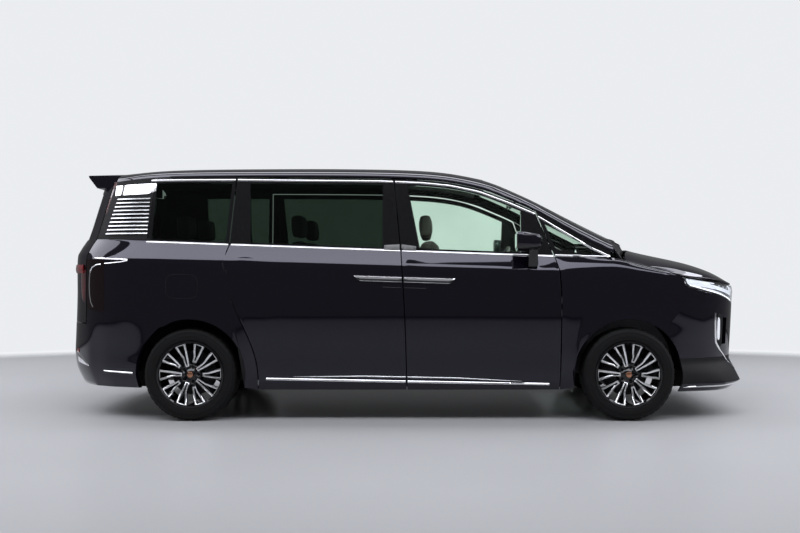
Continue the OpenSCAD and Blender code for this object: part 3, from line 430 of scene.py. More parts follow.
sides = {"left": 1, "right": -1}
panelRules = {
    "rear_quarters": quarterFinish,
    "roof": lambda c, n: 3 if n.z < change["roofUnder"] else 0,
    "front_bumper": lambda c, n: 2 if n.z > change["chinTurn"] and c.z < change["chinTop"] else 0,
    "hood": lambda c, n: 2 if n.z < change["hoodUnder"] else 0,
    "tailgate": lambda c, n: 2 if n.x > change["gateInward"] else 0,
}
for side in sides:
    panelRules["sliding_door_" + side] = panelRules["front_door_" + side] = panelFinish
    panelRules["mirror_" + side] = lambda c, n: 1 if c.z < change["mirrorSplit"] else 0

# painted panels
fourthFinish = {"rear_quarters": ["edgeRed"], "roof": ["headliner"]}
ironRounds = {"hood": 8, "front_fenders": 8}
panels = {}
paintedPanels = {
    "roof": "roofPanel", "roof_rails": "roofRailPanels", "rear_quarters": "rearQuarterPanels",
    "front_fenders": "frontFenderPanels", "front_bumper": "frontBumperCover",
    "rear_bumper": "rearBumperCover", "sliding_door_left": "slidingDoorLeftShell",
    "sliding_door_right": "slidingDoorRightShell", "front_door_left": "frontDoorLeftShell",
    "front_door_right": "frontDoorRightShell", "hood": "hoodPanel", "tailgate": "tailgatePanel",
    "roof_spoiler": "roofSpoilerBlade", "mirror_left": "mirrorLeftShell",
    "mirror_right": "mirrorRightShell",
}
for name, label in paintedPanels.items():
    piece = smoothPanel(name, label)
    if name in ironRounds:
        ironPanel(piece, ironRounds[name])
    mats = ["paint", "gloss", "plastic"] + fourthFinish.get(name, [])
    panels[name] = dress(piece, mats, "paint", bodyOf(name), [name])
    if name in panelRules:
        paintFaces(piece, panelRules[name])
print("stage: painted panels smoothed,", len(panels))

# panes, lamps and bright trim that keep the CAD form
plainPanels = {
    "windshield": ("windshieldPane", "clear", "glass_clear"),
    "fixed_side_glass": ("fixedSidePanes", "privacy", "glass_dark"),
    "sliding_door_glass": ("slidingDoorPanes", "privacy", "glass_dark"),
    "front_door_glass_left": ("frontDoorLeftPane", "clear", "glass_clear"),
    "front_door_glass_right": ("frontDoorRightPane", "clear", "glass_clear"),
    "tailgate_glass": ("tailgatePane", "privacy", "glass_dark"),
    "vent_frames": ("ventWindowFrames", "gloss", "trim_black"),
    "tail_lamps": ("tailLampBlocks", "smoke", "lamp_red"),
    "tailgate_lamp": ("tailgateLightBar", "red", "lamp_red"),
    "cowl": ("cowlPanel", "plastic", "plastic"),
    "front_handle_left": ("frontHandleLeft", "chrome", "chrome"),
    "front_handle_right": ("frontHandleRight", "chrome", "chrome"),
    "sliding_door_handles": ("slidingDoorHandles", "chrome", "chrome"),
}
for name, (label, mat, slot) in plainPanels.items():
    panels[name] = dress(smoothPanel(name, label), [mat], slot, bodyOf(name), [name])
louverMake = {"first": 1.368, "pitch": 0.029, "bright": 0.0065}
louvers = dress(smoothPanel("pillar_louvers", "pillarLouverBlades"), ["satin", "plastic"], "chrome", "body",
                ["pillar_louvers"])
handleMake = {"height": 1.031, "slope": 0.032, "black": 0.0140, "recessHeight": 0.973}


def louverFinish(c, n):
    return 0 if (c.z - louverMake["first"]) % louverMake["pitch"] < louverMake["bright"] else 1


def handleFinish(c, n):
    return 1 if abs(c.z - handleMake["height"] + handleMake["slope"] * c.x) < handleMake["black"] else 0


paintFaces(louvers, louverFinish)
for name in ("front_handle_left", "front_handle_right", "sliding_door_handles"):
    panels[name].data.materials.append(finish["gloss"])
    paintFaces(panels[name], handleFinish)

# black border of a pane: faces closer to its rim than the margin
frit = {"thin": 0.003, "margins": {"windshield": 0.055, "tailgate_glass": 0.045}}


def fritEdge(piece, margin):
    points = piece.data.vertices
    rim = []
    for face in piece.data.polygons:
        corners = [points[i].co for i in face.vertices]
        if min((a - b).length for a, b in zip(corners, corners[1:] + corners[:1])) < frit["thin"]:
            rim.append(face.center.copy())
    tree = KDTree(len(rim))
    for i, spot in enumerate(rim):
        tree.insert(spot, i)
    tree.balance()
    piece.data.materials.append(finish["plastic"])
    paintFaces(piece, lambda c, n: 1 if tree.find(c)[2] < margin else 0)


for name, margin in frit["margins"].items():
    fritEdge(panels[name], margin)
sidePanes = panels["fixed_side_glass"]
sidePanes.data.materials.append(finish["clear"])
paintFaces(sidePanes, lambda c, n: 1 if c.x > change["clearFrom"] else 0)
print("stage: panes and lamps done")

# nodes that stay as they are and only take a finish
keptNodes = {
    "floor_pan": "carpet", "side_frames": "steel", "grille": "chrome",
    "wheel_liners": "liner", "front_subframe": "steel", "rear_axle": "steel", "engine_block": "iron",
    "exhaust": "iron", "dashboard": "plastic", "steering_wheel": "leather", "hood_hinges": "steel",
    "tailgate_hinges": "steel", "knuckle_left": "iron", "knuckle_right": "iron",
}
for name, mat in keptNodes.items():
    nodes[name].data.materials.clear()
    nodes[name].data.materials.append(finish[mat])
    shadeByAngle(nodes[name], panelWay["shade"])

# trim laid on the panels: a ribbon along points, pressed onto the panel from where it is looked at
surfaces = {}

# ways to look at a panel: a point on the sheet of the drawing, the way along it and the way out of it,
# on the left side
looks = {
    "side": ((0, 0), (1, 0), (0, 1)),
    "noseCorner": ((2.30, 0.73), (0.793, -0.610), (0.610, 0.793)),
    "tailCorner": ((-2.30, 0.75), (0.707, 0.707), (-0.707, 0.707)),
    "front": ((1.2, 0), (0, -1), (1, 0)),
    "rear": ((-1.2, 0), (0, 1), (-1, 0)),
}
ray = {"away": 2.0, "reach": 2.6}
ribbonMake = {
    "steps": 240, "edgeSlack": 0.06, "endTrim": 0.3, "ahead": 0.004, "lift": 0.0006, "shade": 40.0,
    "samples": 30,
}


def joinSurfaces(label, names):
    # one surface to lay trim on, also where it runs over several panels of a body
    points, faces = [], []
    for name in names:
        data = panels[name].data
        faces += [[len(points) + i for i in f.vertices] for f in data.polygons]
        points += [v.co for v in data.vertices]
    surfaces[label] = BVHTree.FromPolygons(points, faces)
    panels[label] = panels[names[0]]


def onPanel(panel, look, a, z, side):
    if panel not in surfaces:
        joinSurfaces(panel, [panel])
    (x0, y0), (ax, ay), (ox, oy) = looks[look]
    away = ray["away"]
    start = Vector((x0 + a * ax + away * ox, side * (y0 + a * ay + away * oy), z))
    return surfaces[panel].ray_cast(start, Vector((-ox, -side * oy, 0)), ray["reach"])[0]


def alongPath(path, t):
    lengths = [0.0]
    for a, b in zip(path, path[1:]):
        lengths.append(lengths[-1] + math.hypot(b[0] - a[0], b[1] - a[1]))
    want = t * lengths[-1]
    for i, (a, b) in enumerate(zip(path, path[1:])):
        if want <= lengths[i + 1] or i == len(path) - 2:
            k = (want - lengths[i]) / max(1e-9, lengths[i + 1] - lengths[i])
            return [a[j] + (b[j] - a[j]) * k for j in range(3)]


def roomFor(panel, look, side, path):
    # the longest stretch of the path with both edges of the ribbon on the panel
    steps = ribbonMake["steps"]
    good = []
    for k in range(steps + 1):
        x, z, width = alongPath(path, k / steps)
        edges = [onPanel(panel, look, x, z + d * width, side) for d in (-0.5, 0.5)]
        good.append(all(edges) and (edges[0] - edges[1]).length < width + ribbonMake["edgeSlack"])
    runs, start = [], None
    for k, fine in enumerate(good + [False]):
        if fine and start is None:
            start = k
        if not fine and start is not None:
            runs.append((start, k - 1))
            start = None
    if not runs:
        return None
    first, last = max(runs, key=lambda r: r[1] - r[0])
    inset = ribbonMake["endTrim"] / steps
    return first / steps + (inset if first else 0), last / steps - (inset if last < steps else 0)


def ribbon(label, panel, side, path, rise, mat, slot, columns=48, rows=4, wall=0.004, flat=False,
           look="side"):
    # path points are (along, z, width); the ends are cut where the panel ends
    room = roomFor(panel, look, side, path)
    if not room:
        print("no room for", label)
        return
    low, high = room
    out = Vector((looks[look][2][0], side * looks[look][2][1], 0))
    bpy.ops.mesh.primitive_grid_add(x_subdivisions=columns, y_subdivisions=rows, size=1)
    strip = bpy.context.object
    strip.name = label
    lost = 0
    middle = alongPath(path, (low + high) / 2)
    kept = onPanel(panel, look, middle[0], middle[1], side)
    for vertex in strip.data.vertices:
        u, v = vertex.co.x + 0.5, vertex.co.y + 0.5
        t = low + (high - low) * u
        x, z, width = alongPath(path, t)
        ahead = alongPath(path, min(1, t + ribbonMake["ahead"]))
        behind = alongPath(path, max(0, t - ribbonMake["ahead"]))
        run = Vector((ahead[0] - behind[0], ahead[1] - behind[1])).normalized()
        x, z = x - run.y * (v - 0.5) * width, z + run.x * (v - 0.5) * width
        hit = onPanel(panel, look, x, z, side)
        lost += hit is None
        crown = 1.0 if flat else 1.0 - (2 * v - 1) ** 2
        kept = hit or kept
        vertex.co = kept + out * (ribbonMake["lift"] + rise * crown)
    if lost:
        print(label, "points off the panel:", lost)
    strip.data.update()
    if sum(f.normal.dot(out) for f in strip.data.polygons) < 0:
        strip.data.flip_normals()
    solid = strip.modifiers.new("wall", "SOLIDIFY")
    solid.thickness, solid.offset = wall, -1.0
    applyAll(strip)
    shadeByAngle(strip, ribbonMake["shade"])
    dress(strip, [mat], slot, panels[panel]["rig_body"])


def sampled(line, start, end, width):
    count = ribbonMake["samples"]
    places = [start + (end - start) * k / count for k in range(count + 1)]
    return [(x, line(x), width) for x in places]


trim = {
    "beltWidth": 0.015, "railWidth": 0.017, "brightRise": 0.004, "railUp": 0.004, "ventRailUp": -0.002,
    "ventFoot": (1.106, 1.2105), "ventSlope": 0.030, "join": (1.235, 1.305), "joinUp": 0.003,
    "joinWidth": 0.009, "sill": [(-0.994, 0.307), (1.064, 0.266)], "sillWidth": 0.017, "sillRise": 0.006,
    "spearUp": 0.034, "spearRise": 0.004, "garnishRise": 0.003, "recessWidth": 0.004, "recessRise": 0.002,
    "rearGarnish": [(-2.19, 1.700, 0.076), (-1.92, 1.708, 0.076), (-1.80, 1.730, 0.044),
                    (-1.60, 1.750, 0.014)],
}
bright = (trim["brightRise"], "chrome", "chrome")


def lifted(line, up):
    return lambda x: line(x) + up


def ventFoot(x):
    x0, z0 = trim["ventFoot"]
    return z0 - trim["ventSlope"] * (x - x0)


def sillAt(x):
    (x0, z0), (x1, z1) = trim["sill"]
    return z0 + (z1 - z0) * (x - x0) / (x1 - x0)


def recessAt(x):
    return handleMake["recessHeight"] - handleMake["slope"] * x


doorRail, ventRail = lifted(railAt, trim["railUp"]), lifted(railAt, trim["ventRailUp"])
# bright lines under and over the windows; a panel's name that ends in _ takes the side
windowRuns = {
    "Quarter": {"panel": "rear_quarters", "belt": (beltAt, -1.893, -1.20),
                "rail": (doorRail, -1.893, -1.20)},
    "Slider": {"panel": "sliding_door_", "belt": (beltAt, -1.40, 0.06), "rail": (doorRail, -1.40, 0.06)},
    "Door": {"panel": "front_door_", "belt": (beltAt, -0.10, 1.16), "rail": (doorRail, -0.10, 0.97)},
    "Vent": {"panel": "vent_frames", "belt": (ventFoot, 1.09, 1.255), "rail": (ventRail, 0.97, 1.255)},
    "Nose": {"panel": "noseSide", "belt": (ventFoot, 1.24, 1.525), "rail": (ventRail, 1.24, 1.525)},
}
# trim of each door; the crease highlight line is a satin strip, a painted highlight of a lower door crease
# that is not modelled; its points are way along, share of its height over the sill, width
doorTrim = {
    "Slider": {
        "panel": "sliding_door_", "sill": (-1.0, 0.06), "recess": (-0.150, -0.02),
        "spear": [(-0.80, 0.6, 0.004), (-0.30, 1.0, 0.010), (0.06, 1.0, 0.011)],
        "garnish": [(-0.143, 1.268, 0.030), (-0.01, 1.270, 0.042)],
    },
    "Door": {
        "panel": "front_door_", "sill": (-0.06, 1.064), "recess": (0.0, 0.165),
        "spear": [(-0.06, 1.0, 0.011), (0.40, 1.0, 0.010), (0.86, 0.6, 0.004)],
        "garnish": [(-0.03, 1.270, 0.042), (0.091, 1.262, 0.026)],
    },
}
joinSurfaces("noseSide", ["vent_frames", "fixed_side_glass", "roof_rails", "front_fenders"])
for side, s in sides.items():
    name = side.capitalize()
    for part, how in windowRuns.items():
        panel = how["panel"] + side if how["panel"].endswith("_") else how["panel"]
        ribbon("beltChrome" + part + name, panel, s, sampled(*how["belt"], trim["beltWidth"]), *bright)
        ribbon("railChrome" + part + name, panel, s, sampled(*how["rail"], trim["railWidth"]), *bright)
    join = sampled(lifted(ventFoot, trim["joinUp"]), *trim["join"], trim["joinWidth"])
    ribbon("beltChromeJoin" + name, "vent_frames", s, join, *bright, columns=12)
    for part, how in doorTrim.items():
        panel = how["panel"] + side
        ribbon("sillChrome" + part + name, panel, s, sampled(sillAt, *how["sill"], trim["sillWidth"]),
               trim["sillRise"], "chrome", "chrome")
        # a painted highlight: a satin line over the sill where the lower door's crease would catch the
        # light
        spear = [(x, sillAt(x) + trim["spearUp"] * share, width) for x, share, width in how["spear"]]
        ribbon("sillSpear" + part + name, panel, s, spear, trim["spearRise"], "satin", "chrome")
        ribbon("pillarGarnish" + part + name, panel, s, how["garnish"], trim["garnishRise"], "satin",
               "chrome", columns=12, flat=True)
        recess = sampled(recessAt, *how["recess"], trim["recessWidth"])
        ribbon("handleRecess" + part + name, panel, s, recess, trim["recessRise"], "steel", "chrome",
               columns=24)
    ribbon("rearGarnish" + name, "rear_quarters", s, trim["rearGarnish"], *bright, flat=True)
print("stage: bright trim laid")

# headlamps: a dark housing, light bars and a clear cover over them
lampMake = {"coverWall": 0.0025, "depth": 0.012, "facing": 0.15, "way": (0.61, 0.793)}


def lampCover(name, label):
    cover = smoothPanel(name, label)
    mesh = bmesh.new()
    mesh.from_mesh(cover.data)
    wayX, wayY = lampMake["way"]
    for face in mesh.faces:
        side = 1 if face.calc_center_median().y > 0 else -1
        face.tag = face.normal.x * wayX + side * face.normal.y * wayY < lampMake["facing"]
    bmesh.ops.delete(mesh, geom=[f for f in mesh.faces if f.tag], context="FACES")
    mesh.to_mesh(cover.data)
    mesh.free()
    solid = cover.modifiers.new("wall", "SOLIDIFY")
    solid.thickness, solid.offset = lampMake["coverWall"], -1.0
    applyAll(cover)
    dress(cover, ["lens"], "lamp_clear", bodyOf(name))


def lampHousing(name, label):
    housing = smoothPanel(name, label)
    moved = [v.co - v.normal * lampMake["depth"] for v in housing.data.vertices]
    for vertex, spot in zip(housing.data.vertices, moved):
        vertex.co = spot
    housing.data.update()
    panels[label] = dress(housing, ["gloss"], "lamp_clear", bodyOf(name), [name])


lampHousing("headlamps", "headlampHousings")
lampCover("headlamps", "headlampCovers")
projector = {
    "count": 3, "first": 0.040, "pitch": 0.052, "half": 0.012, "rear": 0.984, "front": 0.980,
    "drop": 0.0095, "width": 0.015, "rise": 0.009,
}
flap = {
    "at": (-1.609, 0.982), "half": (0.116, 0.088), "bend": 0.5, "points": 48, "width": 0.003,
    "rise": 0.0004,
}


def flapRing():
    (x0, z0), (halfX, halfZ) = flap["at"], flap["half"]
    ring = []
    for k in range(flap["points"] + 1):
        across, up = math.cos(math.tau * k / flap["points"]), math.sin(math.tau * k / flap["points"])
        ring.append((x0 + halfX * math.copysign(abs(across) ** flap["bend"], across),
                     z0 + halfZ * math.copysign(abs(up) ** flap["bend"], up), flap["width"]))
    return ring


chromed = {"mat": "chrome", "slot": "chrome"}
onLamp = {"panel": "headlampHousings", "slot": "lamp_clear", "look": "noseCorner", "rows": 6}
onNose = {"panel": "front_bumper", "look": "noseCorner"}
onTail = {"panel": "rear_bumper", "look": "tailCorner"}
cornerTrim = {
    # the lamp's reflector takes the glowing finish: a painted reflection
    "lampReflector": {**onLamp, "mat": "reflector", "rise": 0.003, "path": [
        (-0.272, 1.032, 0.012), (-0.25, 1.012, 0.040), (-0.22, 1.006, 0.050), (-0.10, 0.985, 0.058),
        (0.02, 0.968, 0.064), (0.14, 0.948, 0.072), (0.28, 0.920, 0.086)]},
    "lampWedge": {**onLamp, "mat": "gloss", "rise": 0.005, "path": [
        (-0.06, 0.998, 0.004), (0.04, 0.982, 0.020), (0.14, 0.964, 0.034), (0.19, 0.955, 0.028)]},
    "lampSplit": {**onLamp, "mat": "gloss", "rise": 0.005, "path": [
        (-0.15, 0.975, 0.004), (0.02, 0.946, 0.012), (0.20, 0.905, 0.018), (0.28, 0.888, 0.018)]},
    "lampLowerBar": {**onLamp, "mat": "led", "rise": 0.008, "path": [
        (-0.24, 0.988, 0.006), (-0.10, 0.953, 0.008), (0.05, 0.922, 0.009), (0.27, 0.866, 0.009)]},
    # front corner: chrome edge, wall and lamp of the air slot, and the lip of the bumper
    "slotEdge": {**onNose, **chromed, "rise": 0.007, "path": [
        (-0.006, 0.777, 0.014), (-0.002, 0.712, 0.018), (0.006, 0.636, 0.019), (0.018, 0.560, 0.018),
        (0.080, 0.496, 0.016), (0.200, 0.410, 0.013), (0.290, 0.345, 0.008)]},
    "slotWall": {**onNose, "mat": "plastic", "slot": "trim_black", "rise": 0.001, "columns": 30,
                 "flat": True,
                 "path": [(0.030, 0.768, 0.024), (0.052, 0.742, 0.074), (0.062, 0.640, 0.086),
                          (0.072, 0.560, 0.086), (0.092, 0.532, 0.030)]},
    # the slot lamp takes the same glowing finish: a painted reflection
    "slotLamp": {**onNose, "mat": "reflector", "slot": "lamp_clear", "rise": 0.006, "columns": 30, "path": [
        (0.030, 0.744, 0.012), (0.038, 0.724, 0.036), (0.043, 0.640, 0.042), (0.048, 0.592, 0.038),
        (0.049, 0.574, 0.014)]},
    "bumperLip": {**onNose, **chromed, "rise": 0.006, "path": [
        (-0.30, 0.238, 0.010), (-0.10, 0.240, 0.015), (0.10, 0.244, 0.016), (0.30, 0.254, 0.016),
        (0.44, 0.262, 0.012)]},
    # rear corner: outline of the lamp, lens on the tailgate, reflector and bright strips
    "lampOutlineTop": {"panel": "rear_quarters", **chromed, "rise": 0.004, "path": [
        (-2.015, 1.175, 0.012), (-2.10, 1.181, 0.012), (-2.20, 1.185, 0.010), (-2.295, 1.190, 0.007)]},
    "lampOutlineUnder": {"panel": "rear_quarters", **chromed, "rise": 0.004, "path": [
        (-2.015, 1.170, 0.008), (-2.08, 1.159, 0.008), (-2.157, 1.152, 0.008), (-2.24, 1.146, 0.008)]},
    "lampOutlineBend": {"panel": "tail_lamps", "look": "tailCorner", **chromed, "rise": 0.004, "path": [
        (0.135, 1.145, 0.008), (0.085, 1.139, 0.008), (0.045, 1.124, 0.009), (0.020, 1.095, 0.010),
        (0.010, 1.045, 0.010), (0.006, 0.980, 0.010), (0.010, 0.915, 0.010), (0.024, 0.860, 0.009),
        (0.048, 0.824, 0.008)]},
    "tailgateLens": {"panel": "tailgate", "look": "rear", "mat": "edgeRed", "slot": "lamp_red",
                     "rise": 0.004, "columns": 40, "rows": 8,
                     "path": [(0.742, 1.104, 0.060), (0.740, 1.080, 0.066), (0.738, 0.960, 0.062),
                              (0.742, 0.900, 0.048), (0.750, 0.868, 0.022)]},
    "rearReflector": {**onTail, "mat": "red", "slot": "lamp_red", "rise": 0.004, "columns": 10, "path": [
        (-0.235, 0.486, 0.030), (-0.180, 0.486, 0.030)]},
    "rearWedge": {**onTail, **chromed, "rise": 0.004, "rows": 8, "path": [
        (-0.200, 0.436, 0.068), (-0.10, 0.413, 0.046), (-0.018, 0.386, 0.008)]},
    "rearStrip": {"panel": "rear_bumper", **chromed, "rise": 0.005, "path": [
        (-2.222, 0.354, 0.010), (-1.985, 0.345, 0.013)]},
}
for side, s in sides.items():
    name = side.capitalize()
    for label, how in cornerTrim.items():
        ribbon(label + name, side=s, **how)
    for k in range(projector["count"]):
        a, drop = projector["first"] + projector["pitch"] * k, projector["drop"] * k
        path = [(a - projector["half"], projector["rear"] - drop, projector["width"]),
                (a + projector["half"], projector["front"] - drop, projector["width"])]
        ribbon("lampProjector%d" % k + name, "headlampHousings", s, path, projector["rise"], "chrome",
               "lamp_clear", columns=16, rows=8, look="noseCorner")
ribbon("fuelFlapSeam", "rear_quarters", sides["right"], flapRing(), flap["rise"], "plastic", "trim_black",
       columns=96, rows=2, wall=0.002)
print("stage: lamps and corner trim done")

boxMake = {"segments": 4, "shade": 40.0}


def roundedBox(label, size, at, edge):
    bpy.ops.object.select_all(action="DESELECT")
    bpy.ops.mesh.primitive_cube_add(size=1, location=at)
    box = bpy.context.object
    box.name = label
    box.scale = size
    bpy.ops.object.transform_apply(location=True, rotation=True, scale=True)
    bevelEdges(box, edge, boxMake["segments"])
    shadeByAngle(box, boxMake["shade"])
    return box


# wipers parked over the cowl, the mirrors' glass, the cabin mirror and shields before and behind the wheels
wiper = {
    "path": [(-0.66, 1.330, 0.014), (-0.30, 1.315, 0.014), (-0.06, 1.303, 0.014)],
    "rise": 0.016, "wall": 0.010,
}
cabinMirror = {
    "at": (0.860, 0, 1.640), "size": (0.030, 0.240, 0.070), "edge": 0.012,
    "stemAt": (0.905, 0, 1.690), "stemSize": (0.018, 0.018, 0.10), "stemEdge": 0.006,
}
doorMirror = {"at": (0.813, 1.046, 1.309), "size": (0.006, 0.124, 0.104), "edge": 0.0025}
splash = {
    "size": (0.26, 0.008, 0.130), "edge": 0.003, "y": 0.56, "z": 0.266,
    "x": {"Front": body["frontAxle"] + 0.476, "Rear": body["rearAxle"] - 0.530},
}
for side, s in sides.items():
    name = side.capitalize()
    ribbon("wiperBlade" + name, "windshield", s, wiper["path"], wiper["rise"], "plastic", "plastic",
           look="front", wall=wiper["wall"])
    x, y, z = doorMirror["at"]
    glass = roundedBox("doorMirrorGlass" + name, doorMirror["size"], (x, s * y, z), doorMirror["edge"])
    dress(glass, ["mirror"], "chrome", bodyOf("mirror_" + side))
    for end, x in splash["x"].items():
        shield = roundedBox("splashShield" + end + name, splash["size"], (x, s * splash["y"], splash["z"]),
                            splash["edge"])
        dress(shield, ["liner"], "plastic", "body")
shell = roundedBox("cabinMirrorShell", cabinMirror["size"], cabinMirror["at"], cabinMirror["edge"])
dress(shell, ["gloss"], "plastic", "body")
stem = roundedBox("cabinMirrorStem", cabinMirror["stemSize"], cabinMirror["stemAt"],
                  cabinMirror["stemEdge"])
dress(stem, ["plastic"], "plastic", "body")

# seats: each pad is swollen once as cloth and copied to its places
pads = {
    "cushion": {"size": (0.50, 0.50, 0.155), "at": (0.275, 0.690), "lean": -4.0,
                "channels": 4, "puff": 0.022},
    "back": {"size": (0.115, 0.50, 0.62), "at": (0.006, 1.030), "lean": -10.5,
             "channels": 4, "puff": 0.022},
    "head": {"size": (0.090, 0.28, 0.170), "at": (-0.062, 1.440), "lean": -4.0,
             "channels": 0, "puff": 0.014},
}
padMake = {
    "roundShare": 0.30, "roundSteps": 3, "voxel": 0.016, "quality": 5, "pressure": 3.0, "stiffness": 12,
    "swellFrames": 12, "seamDepth": 0.010, "seamWidth": 0.09, "seamReach": 0.1, "shade": 60.0,
}
seatMake = {
    "madeWidth": 0.52, "padShare": 0.96, "baseSize": (0.36, 0.82, 0.214), "baseAt": (0.25, 0.508),
    "baseEdge": 0.03,
}
seatRows = {
    "front_seats": {"x": body["frontAxle"] - 1.420, "y": 0.39, "width": 0.52},
    "middle_seats": {"x": body["frontAxle"] - 2.420, "y": 0.39, "width": 0.56},
    "rear_seats": {"x": body["rearAxle"] - 0.130, "y": 0.32, "width": 0.60},
}


def puffedPad(label):
    how = pads[label]
    bpy.ops.object.select_all(action="DESELECT")
    bpy.ops.mesh.primitive_cube_add(size=1)
    pad = bpy.context.object
    pad.name = "padSource_" + label
    pad.scale = how["size"]
    bpy.ops.object.transform_apply(location=False, rotation=False, scale=True)
    bevelEdges(pad, min(how["size"]) * padMake["roundShare"], padMake["roundSteps"])
    remesh = pad.modifiers.new("skin", "REMESH")
    remesh.mode, remesh.voxel_size = "VOXEL", padMake["voxel"]
    applyAll(pad)
    start = [v.co.copy() for v in pad.data.vertices]
    cloth = pad.modifiers.new("swell", "CLOTH")
    cloth.settings.quality = padMake["quality"]
    cloth.settings.use_pressure = True
    cloth.settings.uniform_pressure_force = padMake["pressure"]
    cloth.settings.effector_weights.gravity = 0.0
    cloth.settings.tension_stiffness = padMake["stiffness"]
    scene = bpy.context.scene
    for step in range(1, padMake["swellFrames"] + 1):
        scene.frame_set(step)
    applyAll(pad)
    scene.frame_set(1)
    for vertex, spot in zip(pad.data.vertices, start):
        move = vertex.co - spot
        if move.length > how["puff"]:
            vertex.co = spot + move.normalized() * how["puff"]
    # seams between the channels on the side that is sat on
    outward = 2 if label == "cushion" else 0
    reach = how["channels"] / 2 + padMake["seamReach"]
    for vertex in pad.data.vertices:
        c = vertex.co
        if c[outward] < 0 or not how["channels"]:
            continue
        v = c.y / (how["size"][1] / 2) * (how["channels"] + 1) / 2
        near = abs(v - math.floor(v) - 0.5) if abs(v) < reach else 1
        c[outward] -= padMake["seamDepth"] * math.exp(-(near / padMake["seamWidth"]) ** 2)
    soft = pad.modifiers.new("soft", "SUBSURF")
    soft.levels = soft.render_levels = 1
    applyAll(pad)
    shadeByAngle(pad, padMake["shade"])
    return pad


def setSeats():
    sources = {label: puffedPad(label) for label in pads}
    for row, where in seatRows.items():
        for s in (-1, 1):
            spot = row.split("_")[0] + ("Left" if s > 0 else "Right")
            for label, how in pads.items():
                pad = bpy.data.objects.new("seat_" + label + "_" + spot, sources[label].data.copy())
                bpy.context.scene.collection.objects.link(pad)
                share = seatMake["padShare"] if label != "head" else 1.0
                share *= where["width"] / seatMake["madeWidth"]
                pad.scale = (1, share, 1)
                pad.rotation_euler = (0, math.radians(how["lean"]), 0)
                pad.location = (where["x"] + how["at"][0], s * where["y"], how["at"][1])
                makeActive(pad)
                bpy.ops.object.transform_apply(location=True, rotation=True, scale=True)
                dress(pad, ["leather"], "leather", "body")
            long, wide, tall = seatMake["baseSize"]
            ahead, height = seatMake["baseAt"]
            base = roundedBox("seatBase_" + spot, (long, where["width"] * wide, tall),
                              (where["x"] + ahead, s * where["y"], height), seatMake["baseEdge"])
            dress(base, ["plastic"], "plastic", "body", [row] if s > 0 else [])
    for source in sources.values():
        bpy.data.objects.remove(source)


setSeats()
print("stage: seats padded")

# wheels
wheelMake = {
    "steps": 160, "tyreHalf": 0.1125, "treadEdge": 0.050, "grooves": (-0.052, -0.018, 0.018, 0.052),
    "grooveWidth": 0.009, "grooveDepth": 0.007, "grooveFoot": 0.7, "sipeEvery": 4, "sipeDepth": 0.004,
    "sipeFrom": 0.060, "sipeBand": 0.015, "tyreShade": 38.0, "rimGrow": 1.049, "growFrom": 0.1,
    "faceDepth": (0.0905, 0.0935), "faceTurn": 0.9, "faceReach": (0.05, 0.2335), "discDepth": -0.03,
    "discReach": (0.08, 0.162), "rimShade": 30.0,
}
capMake = {"radius": 0.022, "depth": 0.012, "out": 0.086, "edge": 0.004, "steps": 3, "shade": 35.0}
boltMake = {
    "count": 5, "turn": 36.0, "ring": 0.057, "radius": 0.0085, "depth": 0.011, "out": 0.080, "edge": 0.0012,
    "steps": 2,
}
wheelSpots = {
    "front_left": (body["frontAxle"], 1), "front_right": (body["frontAxle"], -1),
    "rear_left": (body["rearAxle"], 1), "rear_right": (body["rearAxle"], -1),
}


def tyreProfile():
    half, top, rim = wheelMake["tyreHalf"], body["tyreRadius"], body["rimRadius"]
    side = [(rim - 0.0075, 0.093), (rim + 0.004, 0.100), (rim + 0.010, 0.1075), (rim + 0.016, 0.1085),
            (rim + 0.030, 0.1115), (rim + 0.034, 0.1115), (rim + 0.036, 0.1125), (rim + 0.041, 0.1125),
            (rim + 0.043, 0.1115), (rim + 0.066, half), (top - 0.022, half - 0.006),
            (top - 0.013, half - 0.013), (top - 0.006, half - 0.021), (top - 0.002, half - 0.032)]
    edge, w, d = half - wheelMake["treadEdge"], wheelMake["grooveWidth"] / 2, wheelMake["grooveDepth"]
    foot = w * wheelMake["grooveFoot"]
    tread = [(top, edge)]
    for middle in reversed(wheelMake["grooves"]):
        tread += [(top, middle + w), (top - d, middle + foot), (top - d, middle - foot), (top, middle - w)]
    tread += [(top, -edge)]
    return side + tread + [(r, -d) for r, d in reversed(side)]


def makeTyre(spot):
    x0, s = wheelSpots[spot]
    profile = tyreProfile()
    mesh = bmesh.new()
    ring = [mesh.verts.new((r, d, 0)) for r, d in profile]
    edges = [mesh.edges.new((a, b)) for a, b in zip(ring, ring[1:] + ring[:1])]
    bmesh.ops.spin(mesh, geom=ring + edges, cent=(0, 0, 0), axis=(0, 1, 0), angle=math.tau,
                   steps=wheelMake["steps"], use_merge=True, use_duplicate=False)
    bmesh.ops.remove_doubles(mesh, verts=mesh.verts, dist=1e-5)
    bmesh.ops.recalc_face_normals(mesh, faces=mesh.faces)
    step = math.tau / wheelMake["steps"]
    sipeFloor = body["tyreRadius"] - wheelMake["sipeBand"]
    for vertex in mesh.verts:
        turn = round(math.atan2(vertex.co.z, vertex.co.x) / step) % wheelMake["sipeEvery"]
        radius = math.hypot(vertex.co.x, vertex.co.z)
        if turn == 0 and abs(vertex.co.y) > wheelMake["sipeFrom"] and radius > sipeFloor:
            shrink = (radius - wheelMake["sipeDepth"]) / radius
            vertex.co.x, vertex.co.z = vertex.co.x * shrink, vertex.co.z * shrink
    for vertex in mesh.verts:
        x, y, z = vertex.co
        vertex.co = Vector((x0 + x, s * (body["track"] / 2 + y), body["hubHeight"] + z))
    if s < 0:
        bmesh.ops.reverse_faces(mesh, faces=mesh.faces)
    data = bpy.data.meshes.new("treadedTyre" + spot)
    mesh.to_mesh(data)
    mesh.free()
    tyre = bpy.data.objects.new("treadedTyre_" + spot, data)
    bpy.context.scene.collection.objects.link(tyre)
    shadeByAngle(tyre, wheelMake["tyreShade"])
    dress(tyre, ["rubber"], "tyre", "wheel_" + spot, ["tyre_" + spot])


